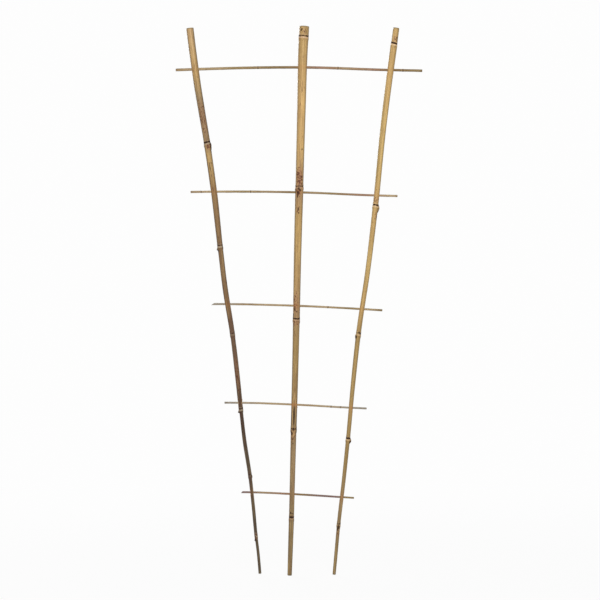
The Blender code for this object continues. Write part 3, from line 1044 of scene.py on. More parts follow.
    def splinter_mesh(self, splinter: Splinter, number: int) -> Mesh:
        """One sliver of skin that curls out from a hole's mouth.

        Its line is a parabola, along the skin at first. It is half as thick as wide, and thins to nearly
        nothing at its tip.

        Args:
            splinter: the group it belongs to.
            number: its number in the group, from 0.

        Returns:
            The mesh.
        """
        seed = self.seed + Draw.SPLINTER + number + Draw.SPLINTER_STEP * splinter.rung
        chance = np.random.default_rng(seed)
        share = np.linspace(0.0, 1.0, splinter.rows)
        length = splinter.length * chance.uniform(splinter.least_length, 1.0)
        start = self.holes[splinter.rung - 1].height + splinter.rise
        levels = start + share * length * math.copysign(1.0, splinter.rise)
        turn = math.radians(splinter.side) + chance.uniform(-splinter.spread, splinter.spread)
        turn = turn + share * chance.uniform(-splinter.drift, splinter.drift)
        curl = splinter.curl * chance.uniform(splinter.least_curl, 1.0) * share**2
        path = self.place(levels, self.radius(levels) - splinter.sunk + curl, turn)
        around = ring_turns(splinter.columns)
        width = splinter.width * (1 - share[:, None] ** 2) + splinter.tip
        radii = width / np.sqrt((2 * np.cos(around)) ** 2 + np.sin(around) ** 2)
        return rough_tube("splinter", path, radii, unit(path - self.centre(levels)))

    def spotted(self, spots: tuple[Mark, ...], at: Array, turn: Array) -> Array:
        """How much of a spot is at each place: its strength times a smooth fall past its oval outline.

        Args:
            spots: the spots.
            at: heights.
            turn: angles round the cane.

        Returns:
            The greatest of the spots' shares, from 0 to a spot's strength.
        """
        found = np.zeros(at.shape)
        radius = self.radius(at)
        for spot in spots:
            up, right = at - spot.height, radius * self.angle_from(turn, spot.side)
            lean = math.radians(spot.lean)
            along = (up * math.cos(lean) + right * math.sin(lean)) / spot.half_length
            across = (right * math.cos(lean) - up * math.sin(lean)) / spot.half_width
            found = np.maximum(found, spot.strength * ease(self.reach.spot - np.hypot(along, across)))
        return found

    def growth_tones(self, at: Array, turn: Array) -> tuple[Array, Array]:
        """Where the buds and the cut stumps are.

        Args:
            at: heights.
            turn: angles round the cane.

        Returns:
            How deep inside a bud's outline a place is, and how much of a stump's bare wood it shows.
        """
        bud, stump = np.zeros(at.shape), np.zeros(at.shape)
        bare = self.radius(at)
        for growth, height, _ in self.growths():
            if growth.kind is GrowthKind.BUD:
                bud = np.maximum(bud, self.bud_lift(growth, height, at, turn)[1])
            else:
                reach, end = self.stump_reach(growth, height, at, turn)
                shown = end + self.reach.stump_side * ~end
                stump = np.maximum(stump, ease((reach - bare) / self.reach.stump_edge) * shown)
        return bud, stump

    def bruised(self, at: Array, turn: Array) -> Array:
        """How brown the skin is near the holes.

        It is the greatest of the bell curves of the height from each hole and the distance from its mouths.

        Args:
            at: heights.
            turn: angles round the cane.

        Returns:
            The shares.
        """
        tones, found = self.reach, np.zeros(at.shape)
        for strength, hole in zip(self.bruises, self.holes):
            near = np.exp(-(((at - hole.height) / (tones.bruise_band * hole.radius)) ** 2))
            distance = self.hole_distance(hole, at, turn, tones.bruise_mouth)
            mouth = np.exp(-((distance / tones.bruise_mouth) ** 2))
            mouth_strength = tones.mouth_least + tones.mouth_gain * strength
            found = np.maximum(found, np.maximum(strength * near, mouth_strength * mouth))
        return found

    def masks(self, at: Array, turn: Array) -> dict[str, Array]:
        """What the finish has to know at each point of the skin.

        Args:
            at: heights.
            turn: angles round the cane.

        Returns:
            scar: millimetres below the nearest scar; ink and wax: how dark that scar is here and how pale
                the band under it; bud, stump, torn, bruise, rim and side: 0 to 1, side being 1 on the left
                and right flanks, where shade is painted; mark and stain: 0 to a spot's strength.
        """
        tones = self.reach
        below, nearest = self.below_scar(at, turn)
        inks, waxes = np.array([(section.ink, section.wax) for section in self.sections[1:]]).T[:, nearest]
        gaps = waves(turn, nearest * 1.0, self.seed + Draw.INK, crests=7, length=40.0)
        bud, stump = self.growth_tones(at, turn)
        mark, stain = self.spotted(self.marks, at, turn), self.spotted(self.stains, at, turn)
        torn = self.torn(at, turn)
        if self.split:
            along = (at - self.split_middle()) / (self.split.length / 2 + tones.split_end)
            beside = self.radius(at) * self.angle_from(turn, 0.0)
            past = np.hypot(along, beside / (self.split.half_width + tones.split_side))
            mark = np.maximum(mark, ease(tones.split_dark - past))
            torn = np.maximum(torn, hump(past - tones.split_torn, tones.split_torn_span))
        ends = np.minimum(self.levels[0] - at, at - self.levels[-1])
        return {
            "scar": below / MILLIMETRE, "wax": waxes, "bud": bud, "stump": stump, "torn": torn,
            "ink": inks * np.clip(tones.ink + tones.ink_wander * gaps, 0.0, tones.ink_most),
            "bruise": self.bruised(at, turn), "mark": mark, "stain": stain,
            # side: where shade is painted, 0 at the front and back and 1 on the left and right flanks
            "rim": ease(1 - ends / tones.rim), "side": np.abs(np.sin(turn)),
        }

    def lay_out_holes(self, rungs: list["Rung"]) -> None:
        """Works out the holes that the rungs, from the top down, need in the cane."""
        self.holes = [Hole.through(self, rung) for rung in rungs]

    def build(self) -> Piece:
        """Makes the cane, drilled and split, with the slivers of skin at its holes.

        Returns:
            The cane's object.
        """
        piece = new_object(self.name, self.body())
        tools = [self.hole_tool(number, hole) for number, hole in enumerate(self.holes)]
        if self.split:
            tools.append(self.split_tool())
        carved(piece, joined(self.name + "_cuts", tools))
        slivers = [
            self.splinter_mesh(group, number) for group in self.splinters for number in range(group.count)
        ]
        piece.data = joined(self.name, [piece.data, *slivers])
        self.store_masks(piece.data)
        return piece


@dataclass(frozen=True)
class Hole:
    """A hole that a rung goes through, and its two mouths on the cane's skin."""

    height: float
    radius: float
    skin_radius: float
    point: Array
    along: Array
    mouths: tuple[tuple[float, float], ...]  # place along the cane and turn round it, for each mouth

    @staticmethod
    def through(cane: Cane, rung: "Rung") -> "Hole":
        """The hole that a rung needs in a cane: along the rung, with a clearance all round it.

        Args:
            cane: the cane.
            rung: the rung.

        Returns:
            The hole.
        """
        point = rung.crossings[cane.name]
        _, along, _, _ = rung.frames(point[:1])
        skin_radius = float(cane.radius(point[2]))
        ends = np.array([point - along[0] * skin_radius, point + along[0] * skin_radius])
        at, turn, _ = cane.straighten(ends)
        return Hole(
            height=float(point[2]),
            radius=float(rung.radius(point[0])) + cane.drill.clearance,
            skin_radius=skin_radius,
            point=point,
            along=along[0],
            mouths=tuple(zip(at.tolist(), turn.tolist())),
        )


@dataclass(frozen=True)
class RungEnd:
    """One end of a rung, and how it leaves the outer cane on its side."""

    overhang: float  # from that cane's middle to the end
    rise: float  # of its crossing with that cane over the middle one
    fall: float  # from that crossing to its end
    diameter: float
    slant: float = 0.0  # degrees by which it is cut off square; only a left end has it


@dataclass
class Rung(Stem):
    """A thin stick through all three canes."""

    name: str
    canes: tuple[Cane, ...]
    height: float  # of its crossing with the middle cane
    left: RungEnd
    right: RungEnd
    knots: tuple[float, ...]  # distances from its left end to its own small nodes
    finish: "RungSkin"
    cut_finish: "CutWood"
    seed: int
    columns: int = 36
    chamfer: float = 0.0003
    knot_rise: float = 0.00025
    knot_half_length: float = 0.002
    nick_place: float = 0.0007  # from a knot's middle to the nick beside it
    nick_depth: float = 0.00012
    nick_half_length: float = 0.0005
    flatness: float = 0.075  # where it is flattest, as a share of its radius
    roughness: float = 0.00004
    saw_depth: float = 0.00007
    cap_shares: tuple[float, ...] = (1.0, 0.78, 0.52, 0.26)  # radii of the cut face's rings
    slant_fade: float = 7.0  # reach of a slant, in diameters
    widest_step: float = 0.0018  # distances between rings, as on a cane
    end_step: float = 0.0004
    knot_step: float = 0.00025
    step_growth: float = 0.09
    grime: float = 0.006  # reach of the dirt at its ends
    axis: ClassVar[int] = 0
    crossings: dict[str, Array] = field(init=False)
    stops: Array = field(init=False)

    def __post_init__(self) -> None:
        """Works out the points that the rung's axis goes through."""
        heights = (self.height + self.left.rise, self.height, self.height + self.right.rise)
        places = [cane.centre(np.array(level)) for cane, level in zip(self.canes, heights)]
        self.crossings = {cane.name: place for cane, place in zip(self.canes, places)}
        left_end = places[0] - np.array([self.left.overhang, 0.0, self.left.fall])
        right_end = places[2] + np.array([self.right.overhang, 0.0, -self.right.fall])
        self.stops = np.array([left_end, *places, right_end])

    def from_left(self, at: Array) -> Array:
        """Distances across the trellis from the rung's left end."""
        return at - self.stops[0, 0]

    def radius(self, at: Array) -> Array:
        """An even taper from end to end, thicker at the knots.

        Args:
            at: places across the trellis.

        Returns:
            The radii.
        """
        taper = self.right.diameter - self.left.diameter
        diameter = self.left.diameter + taper * self.from_left(at) / self.from_left(self.stops[-1, 0])
        rise = np.zeros(np.shape(at))
        for knot in self.knots:
            rise += self.knot_rise * hump(self.from_left(at) - knot, self.knot_half_length)
        return diameter / 2 + rise

    def skin(self, at: Array, turn: Array) -> Array:
        """The radius, less a share of it where the stick is flatter, less a nick beside each knot.

        Args:
            at: places across the trellis.
            turn: angles round the rung, from the front up.

        Returns:
            The radii.
        """
        uneven = waves(turn, at, self.seed + Draw.ROUNDNESS, crests=4, length=0.09)
        flat = 0.5 + 0.5 * np.clip(uneven, -1.0, 1.0)
        radius = self.radius(at) * (1 - self.flatness * flat)
        radius = radius - self.roughness * waves(turn, at, self.seed + Draw.FINE, crests=16, length=0.02)
        for knot in self.knots:
            offset = self.from_left(at) - knot - self.nick_place
            radius = radius - self.nick_depth * hump(offset, self.nick_half_length)
        return radius

    def cap_rows(self, end: float, inward: int) -> Rows:
        """Rows of one end's cut face, from its rim towards its middle.

        Args:
            end: place of the end.
            inward: 1 at the left end and -1 at the right one.

        Returns:
            The rows.
        """
        turn = ring_turns(self.columns)
        share = np.array(self.cap_shares)[:, None]
        rim = self.skin(np.full(1, end), turn) - self.chamfer
        rough = 1 + waves(turn, share, self.seed + Draw.CAP, crests=9, length=0.7)
        sunk = self.saw_depth * rough * (share < 1)
        return end + inward * np.clip(sunk, 0.0, None), share * rim

    def slanted(self, at: Array, radii: Array, turn: Array) -> Array:
        """Slides the left end's points along, so that its cut face slants and its tip is at the bottom.

        It is the height above the rung's lowest line times the tangent of the slant, and fades to nothing a
        few diameters from the end.

        Args:
            at: places of the points.
            radii: their radii.
            turn: their angles round the rung.

        Returns:
            The new places.
        """
        left = self.left
        slide = (radii * np.sin(turn) + left.diameter / 2) * math.tan(math.radians(left.slant))
        fade = np.clip(1 - self.from_left(at) / (self.slant_fade * left.diameter), 0.0, 1.0)
        return at + slide * fade

    def body(self) -> Mesh:
        """The whole rung: its left face, its outside and its right face.

        Returns:
            The mesh.
        """
        left, right = self.stops[0, 0], self.stops[-1, 0]
        finest = {left + knot: self.knot_step for knot in self.knots}
        finest |= {left: self.end_step, right: self.end_step}
        start, end = left + self.chamfer, right - self.chamfer
        places = spaced(start, end, self.widest_step, finest, self.step_growth)
        at, turn = np.repeat(places[:, None], self.columns, axis=1), ring_turns(self.columns)
        parts = (self.cap_rows(left, 1), (at, self.skin(at, turn)), self.cap_rows(right, -1))
        slid = [(self.slanted(at, radii, turn), radii) for at, radii in parts]
        return self.shell(*slid, self.slanted(np.array([left, right]), np.zeros(2), np.zeros(2)))

    def masks(self, at: Array, turn: Array) -> dict[str, Array]:
        """What the finish has to know at each point of the skin.

        Args:
            at: places across the trellis.
            turn: angles round the rung, on which none of them depends.

        Returns:
            knot: millimetres to the nearest knot's middle; share: 0 at the left end and 1 at the right one;
            end: 0 to 1, towards both ends.
        """
        start, end = self.from_left(at), self.stops[-1, 0] - at
        beside = [np.abs(start - knot) for knot in self.knots] or [np.full(at.shape, 1.0)]
        return {
            "knot": np.min(beside, axis=0) / MILLIMETRE,
            "share": start / self.from_left(self.stops[-1, 0]),
            "end": ease(1 - np.minimum(start, end) / self.grime),
        }


class Signal:
    """A number that changes over a surface. Arithmetic on it adds Math nodes."""

    def __init__(self, shader: "Shader", socket: Socket) -> None:
        """Wraps a socket of a shader's tree."""
        self.shader = shader
        self.socket = socket

    def math(self, operation: str, *values: "Signal | float") -> "Signal":
        """The result of a Math node on the given values, in their order."""
        made = self.shader.node("Math", {"operation": operation}, dict(enumerate(values)))
        return Signal(self.shader, made.outputs[0])

    def __add__(self, other: "Signal | float") -> "Signal":
        """The sum."""
        return self.math("ADD", self, other)

    __radd__ = __add__

    def __sub__(self, other: "Signal | float") -> "Signal":
        """The difference."""
        return self.math("SUBTRACT", self, other)

    def __rsub__(self, other: "Signal | float") -> "Signal":
        """The difference, the other way round."""
        return self.math("SUBTRACT", other, self)

    def __mul__(self, other: "Signal | float") -> "Signal":
        """The product."""
        return self.math("MULTIPLY", self, other)

    __rmul__ = __mul__

    def __abs__(self) -> "Signal":
        """The size without the sign."""
        return self.math("ABSOLUTE", self)

    def most(self, other: "Signal | float") -> "Signal":
        """The greater of the two."""
        return self.math("MAXIMUM", self, other)

    def least(self, other: "Signal | float") -> "Signal":
        """The lesser of the two."""
        return self.math("MINIMUM", self, other)

    def rise(self, start: float, end: float) -> "Signal":
        """Goes smoothly from 0 to 1 while this goes from start to end.

        Args:
            start: where it is 0.
            end: where it is 1, above or below start.

        Returns:
            The share.
        """
        span = {"Value": self, "From Min": start, "From Max": end}
        made = self.shader.node("MapRange", {"interpolation_type": "SMOOTHSTEP"}, span)
        return Signal(self.shader, made.outputs[0])

    def peak(self, middle: float, half_width: float) -> "Signal":
        """1 where this equals middle, going smoothly to 0 half a width from it."""
        return 1 - abs(self - middle).rise(0.0, half_width)


class Shader:
    """The node tree of a material or a world, with one method for each kind of step."""

    def __init__(self, owner: Material | bpy.types.World) -> None:
        """Empties the owner's tree.

        Args:
            owner: what the tree belongs to.
        """
        self.owner = owner
        owner.use_nodes = True
        self.tree = owner.node_tree
        self.tree.nodes.clear()

    def node(self, kind: str, settings: Inputs | None = None, inputs: Inputs | None = None) -> bpy.types.Node:
        """Adds a node.

        Args:
            kind: its type, without Blender's prefix for shader nodes.
            settings: its own settings, which are set first; stops gives a ramp's places and colours.
            inputs: values or links of its sockets, by name or number.

        Returns:
            The node.
        """
        made = self.tree.nodes.new("ShaderNode" + kind)
        for name, value in (settings or {}).items():
            if name == "stops":
                self.fill_ramp(made.color_ramp, value)
            else:
                setattr(made, name, value)
        for name, value in (inputs or {}).items():
            value = value.socket if isinstance(value, Signal) else value
            if isinstance(value, Socket):
                self.tree.links.new(value, made.inputs[name])
            else:
                made.inputs[name].default_value = value
        return made

    def fill_ramp(self, ramp: bpy.types.ColorRamp, stops: Tones) -> None:
        """Puts a ramp's stops.

        Args:
            ramp: the ramp.
            stops: places and colours, from the lowest up.
        """
        while len(ramp.elements) < len(stops):
            ramp.elements.new(1.0)
        for element, (position, color) in zip(ramp.elements, stops):
            element.position = position
            element.color = (*color, 1.0)

    def value(self, name: str) -> Signal:
        """The number that the mesh stores under a name."""
        return Signal(self, self.node("Attribute", {"attribute_name": name}).outputs["Fac"])

    def grain(self) -> Socket:
        """The place on the straightened stem: two directions across the grain and one along it, in metres."""
        return self.node("Attribute", {"attribute_name": "grain"}).outputs["Vector"]

    def noises(self, offset: float, *patterns: "Pattern") -> list[Signal]:
        """Noise in each of the patterns, slid so that two stems differ."""
        return [self.noise(pattern, offset) for pattern in patterns]

    def noise(self, pattern: "Pattern", offset: float) -> Signal:
        """Noise stretched along the grain.

        Args:
            pattern: sizes of its grains.
            offset: how far it is slid beyond the pattern's own slide.

        Returns:
            The noise, about 0.3 to 0.7.
        """
        slide, wide, long = offset + pattern.slide, 1 / pattern.across, 1 / pattern.along
        scale = {0: self.grain(), 1: (wide, wide, long), 2: (slide, slide, slide)}
        placed = self.node("VectorMath", {"operation": "MULTIPLY_ADD"}, scale)
        inputs = {"Vector": placed.outputs[0], "Scale": 1.0, "Detail": pattern.detail, "Roughness": 0.55}
        return Signal(self, self.node("TexNoise", None, inputs).outputs[0])

    def ramp(self, factor: Signal, stops: Tones) -> Socket:
        """A colour that goes through the stops as factor goes from 0 to 1."""
        return self.node("ValToRGB", {"stops": stops}, {0: factor}).outputs["Color"]

    def mix(self, factor: Signal | float, first: object, second: object) -> Socket:
        """Mixes two colours.

        Args:
            factor: how much of the second one shows, from 0 to 1.
            first: the first colour, or its socket.
            second: the second colour, or its socket.

        Returns:
            The mixed colour.
        """
        settings = {"data_type": "RGBA", "clamp_factor": True}
        colours = [(*c, 1.0) if isinstance(c, tuple) else c for c in (first, second)]
        return self.node("Mix", settings, {0: factor, 6: colours[0], 7: colours[1]}).outputs[2]

    def layered(self, color: Socket, *layers: tuple[Signal, object]) -> Socket:
        """Lays colours over a first one, in their order.

        Args:
            color: the first colour.
            layers: for each layer, how much of it shows, from 0 to 1, and its colour.

        Returns:
            The colour on top.
        """
        for shown, over in layers:
            color = self.mix(shown, color, over)
        return color

    def scaled(self, color: Socket, factor: Signal) -> Socket:
        """The colour times a number."""
        scale = {0: color, "Scale": factor}
        return self.node("VectorMath", {"operation": "SCALE"}, scale).outputs[0]

    def finish(
        self, color: object, roughness: Signal, relief: Signal, depth: float, settings: dict[str, float]
    ) -> Material:
        """Ends the tree in a Principled shader.

        Args:
            color: the base colour.
            roughness: the roughness.
            relief: heights for the bump.
            depth: what a height of 1 is in metres.
            settings: other sockets of the shader, with one value all over.

        Returns:
            The material.
        """
        bump = self.node("Bump", None, {"Strength": 1.0, "Distance": depth, "Height": relief})
        varying = {"Base Color": color, "Roughness": roughness, "Normal": bump.outputs[0]}
        shader = self.node("BsdfPrincipled", None, varying | settings)
        self.node("OutputMaterial", None, {"Surface": shader.outputs[0]})
        return self.owner


def tone(red: int, green: int, blue: int) -> Color:
    """A colour given as screen values from 0 to 255, as the linear values that a shader takes."""
    screen = np.array([red, green, blue]) / 255
    return tuple(np.where(screen > 0.04045, ((screen + 0.055) / 1.055) ** 2.4, screen / 12.92).tolist())


@dataclass(frozen=True)
class Pattern:
    """Noise stretched along the grain."""

    across: float  # size of its grains across the stem, in metres
    along: float  # their size along it
    detail: float = 2.0  # how many finer layers it has
    slide: float = 0.0  # so that two patterns differ


@dataclass(frozen=True)
class Layer:
    """How much of a tone shows: none where a signal is at start, and its full strength at end."""

    start: float
    end: float
    strength: float = 1.0

    def of(self, signal: Signal) -> Signal:
        """How much shows, as the signal changes over a surface."""
        shown = signal.rise(self.start, self.end)
        return shown if self.strength == 1.0 else shown * self.strength

    def lowered(self, step: float) -> "Layer":
        """The same layer, showing from lower values of the signal."""
        return Layer(self.start - step, self.end - step, self.strength)


@dataclass(frozen=True)
class Skin:
    """What the skins of canes and rungs share."""

    tones: Tones
    offset: float  # slides all its patterns, so that stems differ

    def material(self, name: str) -> Material:
        """Builds the finish, under that name."""
        raise NotImplementedError


@dataclass(frozen=True)
class CaneSkin(Skin):
    """The waxy skin of a cane: streaks along the grain, stains, specks and darker nodes, with painted shade
    on its left and right flanks and round its buds.

    Its tones are given at heights in metres, from the foot up.
    """

    stain: Color
    side: Color  # colour of the painted shade on its left and right flanks
    ink: Color = tone(48, 26, 12)
    speckle: Color = tone(82, 40, 26)
    wax: Color = tone(206, 172, 136)
    blush: Color = tone(172, 124, 90)  # of the ground under the mottled patches
    straw: Color = tone(212, 178, 116)
    rim: Color = tone(116, 106, 80)
    bud: Color = tone(112, 84, 58)
    bruise: Color = tone(180, 112, 58)
    bare_wood: Color = tone(201, 164, 112)
    stump: Color = tone(150, 138, 122)
    stain_share: float = 0.25  # how much of the skin is stained, from 0 to 1
    speck_share: float = 0.4
    outline: float = 0.8  # how dark the painted shade round the buds' edges is, from 0 to 1
    height: float = 0.9
    fibres: Pattern = Pattern(0.00022, 0.014)
    streaks: Pattern = Pattern(0.0013, 0.09, 3.0, 3.1)
    bands: Pattern = Pattern(0.0034, 0.15, 2.0, 9.2)
    mottle: Pattern = Pattern(0.0021, 0.003, 1.5, 12.6)
    blotches: Pattern = Pattern(0.004, 0.016, 4.0, 7.7)
    drift: Pattern = Pattern(0.02, 0.05, 2.0, 1.3)
    flecks: Pattern = Pattern(0.0005, 0.0013, 1.0, 5.9)
    tints: Pattern = Pattern(0.002, 0.05, 2.0, 15.3)
    tone_wander: tuple[float, float] = (0.05, 0.03)  # metres that drift and streaks carry a tone
    light: tuple[float, ...] = (0.08, 0.7, 0.34, 0.8)  # least, and by streak, fibre and band
    pale_tint: Layer = Layer(0.53, 0.68, 0.35)
    dark_tint: Layer = Layer(0.47, 0.32, 0.35)
    # how much of the painted shade shows on the left and right flanks
    painted_flank_shade: Layer = Layer(0.35, 1.0, 0.55)
    stains: Layer = Layer(0.66, 0.8)  # lowered by the stained share
    specks: Layer = Layer(0.72, 0.78)
    patches: Layer = Layer(0.6, 0.68)
    # dark spots, some of them painted shade
    dark_spots_and_shade: Layer = Layer(0.35, 0.75)
    scar_reach: float = 9.0  # of the stain round a scar, in millimetres
    relief_depth: float = 0.00011

    def ground(self, shader: Shader, streak: Signal, fibre: Signal) -> Socket:
        """The tones from foot to top, with lighter and darker streaks and tints, and painted shade on the
        left and right flanks.

        Args:
            shader: the material's tree.
            streak: the streaks.
            fibre: the fibre lines.

        Returns:
            The colour.
        """
        band, drift, tint = shader.noises(self.offset, self.bands, self.drift, self.tints)
        by_drift, by_streak = self.tone_wander
        along = Signal(shader, shader.node("SeparateXYZ", None, {0: shader.grain()}).outputs[2])
        level = (along + (drift - 0.5) * by_drift + (streak - 0.5) * by_streak) * (1 / self.height)
        color = shader.ramp(level, tuple((height / self.height, color) for height, color in self.tones))
        least, streak_light, fibre_light, band_light = self.light
        color = shader.scaled(color, least + streak * streak_light + fibre * fibre_light + band * band_light)
        # Painted shade, darker towards the left and right flanks.
        painted_flank_shade = self.painted_flank_shade.of(shader.value("side"))
        tints = (self.pale_tint.of(tint), self.straw), (self.dark_tint.of(tint), self.stain)
        return shader.layered(color, *tints, (painted_flank_shade, self.side))

    def material(self, name: str) -> Material:
        """Builds the finish: the ground first, and over it stains, nodes, growths with painted shade round
        the buds, holes and spots, a few of them painted shade.

        Args:
            name: the material's name.

        Returns:
            The material.
        """
        shader = Shader(bpy.data.materials.new(name))
        patterns = (self.fibres, self.streaks, self.mottle, self.blotches, self.flecks)
        fibre, streak, mottle, blotch, fleck = shader.noises(self.offset, *patterns)
        scar, ink, wax, stain = map(shader.value, ("scar", "ink", "wax", "stain"))
        bud, stump, torn = map(shader.value, ("bud", "stump", "torn"))
        bruise, rim, mark = map(shader.value, ("bruise", "rim", "mark"))
        stained = self.stains.lowered(0.2 * self.stain_share).of(blotch)
        specks = self.specks.lowered(0.06 * self.speck_share).of(fleck)
        ragged = scar + (fleck - 0.5) * 0.8
        patch = self.patches.of(mottle + fleck * 0.3 + (stain - 1) * 0.26)
        band = ragged.peak(2.6, 2.2).most(ragged.peak(-1.9, 1.1) * 0.4)
        band = band * wax * (0.7 + fibre.rise(0.3, 0.52) * 0.5)
        line = (ragged.peak(0.0, 2.2) * ink * 1.6).least(1.0)
        # Dark spots, with the few marks that are painted shade.
        dark = self.dark_spots_and_shade.of(mark + (blotch - 0.5) * 0.5 + (fleck - 0.5) * 0.4)
        color = shader.layered(
            self.ground(shader, streak, fibre),
            (stained * 0.65, self.stain),
            (specks * 0.6, self.ink),
            (ragged.peak(1.0, self.scar_reach) * blotch.rise(0.4, 0.62) * 0.45, self.stain),
            (stain * stain * 0.5, self.blush),
            (patch * 0.9, self.speckle),
            (band, self.wax),
            (line, self.ink),
            (bud.rise(0.0, 0.25) * 0.35, self.bud),
            # Painted shade round the edge of each bud.
            (bud.peak(0.12, 0.12) * self.outline, self.ink),
            (bruise * (0.35 + streak.rise(0.35, 0.6) * 0.5), self.bruise),
            (torn * fibre.rise(0.35, 0.55) * 0.8, self.bare_wood),
            (stump * 0.9, shader.mix(fleck.rise(0.35, 0.65), self.stump, self.stain)),
            (rim * (0.4 + blotch.rise(0.35, 0.6) * 0.5), self.rim),
            (dark * 0.85, self.ink),
        )
        rough = 0.4 + fibre * 0.12 + stained * 0.1 + band * 0.12 + line * 0.25 + dark * 0.2
        rough = rough + stump * 0.3 + torn * 0.3
        relief = fibre * 0.55 + streak * 0.5 + (1 - line) * 0.5 + (1 - specks) * 0.25 + torn * fibre * 0.9
        settings = {"Specular IOR Level": 0.16, "Coat Weight": 0.04, "Coat Roughness": 0.3}
        return shader.finish(color, rough, relief, self.relief_depth, settings)


@dataclass(frozen=True)
class CutWood:
    """Sawn ends, hollows and drilled walls: pale fibre bundles in a softer ground."""

    name: str
    ground: Color
    bundle: Color
    dirt: Color
    fibres: Pattern = Pattern(0.0003, 0.004, 3.0)
    grime: Pattern = Pattern(0.0022, 0.006, 3.0, 4.0)
    bundles_across: float = 1900.0  # bundles in a metre across the grain
    bundles_along: float = 90.0
    dirty: Layer = Layer(0.48, 0.66, 0.6)
    relief_depth: float = 0.00012

    def material(self) -> Material:
        """Builds the finish, or finds it where another stem has built it.

        Returns:
            The material, which canes and rungs share.
        """
        ready = bpy.data.materials.get(self.name)
        if ready:
            return ready
        shader = Shader(bpy.data.materials.new(self.name))
        scale = {0: shader.grain(), 1: (self.bundles_across, self.bundles_across, self.bundles_along)}
        placed = shader.node("VectorMath", {"operation": "MULTIPLY"}, scale)
        cells = shader.node("TexVoronoi", None, {"Vector": placed.outputs[0], "Scale": 1.0})
        bundle = 1 - Signal(shader, cells.outputs["Distance"]).rise(0.18, 0.42)
        fibre, grime = shader.noises(0.0, self.fibres, self.grime)
        color = shader.mix(fibre.rise(0.3, 0.7), self.ground, shader.mix(0.5, self.ground, self.dirt))
        color = shader.layered(color, (bundle * 0.7, self.bundle), (self.dirty.of(grime), self.dirt))
        settings = {"Specular IOR Level": 0.3}
        return shader.finish(color, 0.72 + fibre * 0.2, bundle * 0.5 + fibre, self.relief_depth, settings)


@dataclass(frozen=True)
class RungSkin(Skin):
    """The skin of a thin stick: tan, olive and reddish stretches with dark streaks.

    Its tones are given at shares of the rung's length, from its left end.
    """

    dark: Color = tone(66, 48, 36)
    pale: Color = tone(190, 160, 120)
    fibres: Pattern = Pattern(0.00018, 0.012)
    streaks: Pattern = Pattern(0.0009, 0.045, 3.0, 2.2)
    blotches: Pattern = Pattern(0.0025, 0.009, 4.0, 6.4)
    drift: Pattern = Pattern(0.02, 0.03, 2.0, 9.1)
    tone_wander: float = 0.12  # share of the length that drift carries a tone
    light: tuple[float, ...] = (0.58, 0.5, 0.34)  # least, and by streak and fibre
    stains: Layer = Layer(0.55, 0.72)
    pale_streaks: Layer = Layer(0.56, 0.7, 0.35)
    relief_depth: float = 0.00011

    def material(self, name: str) -> Material:
        """Builds the finish.

        Args:
            name: the material's name.

        Returns:
            The material.
        """
        shader = Shader(bpy.data.materials.new(name))
        patterns = (self.fibres, self.streaks, self.blotches, self.drift)
        fibre, streak, blotch, drift = shader.noises(self.offset, *patterns)
        color = shader.ramp(shader.value("share") + (drift - 0.5) * self.tone_wander, self.tones)
        least, streak_light, fibre_light = self.light
        color = shader.scaled(color, least + streak * streak_light + fibre * fibre_light)
        stained = self.stains.of(blotch)
        knot = shader.value("knot")
        color = shader.layered(
            color,
            (stained * 0.45, self.dark),
            (self.pale_streaks.of(streak), self.pale),
            (knot.peak(0.6, 0.7) * 0.75, self.dark),
            (knot.peak(1.9, 1.0) * 0.35, self.pale),
            (shader.value("end") * blotch.rise(0.35, 0.6) * 0.5, self.dark),
        )
        rough = 0.46 + fibre * 0.16 + stained * 0.1
        relief = fibre * 0.7 + streak * 0.5 + (1 - stained) * 0.2
        settings = {"Specular IOR Level": 0.15, "Coat Weight": 0.03, "Coat Roughness": 0.35}
        return shader.finish(color, rough, relief, self.relief_depth, settings)


@dataclass(frozen=True)
class Lamp:
    """A square soft lamp that faces the trellis's middle."""

    name: str
    place: tuple[float, float, float]
    size: float  # length of its side


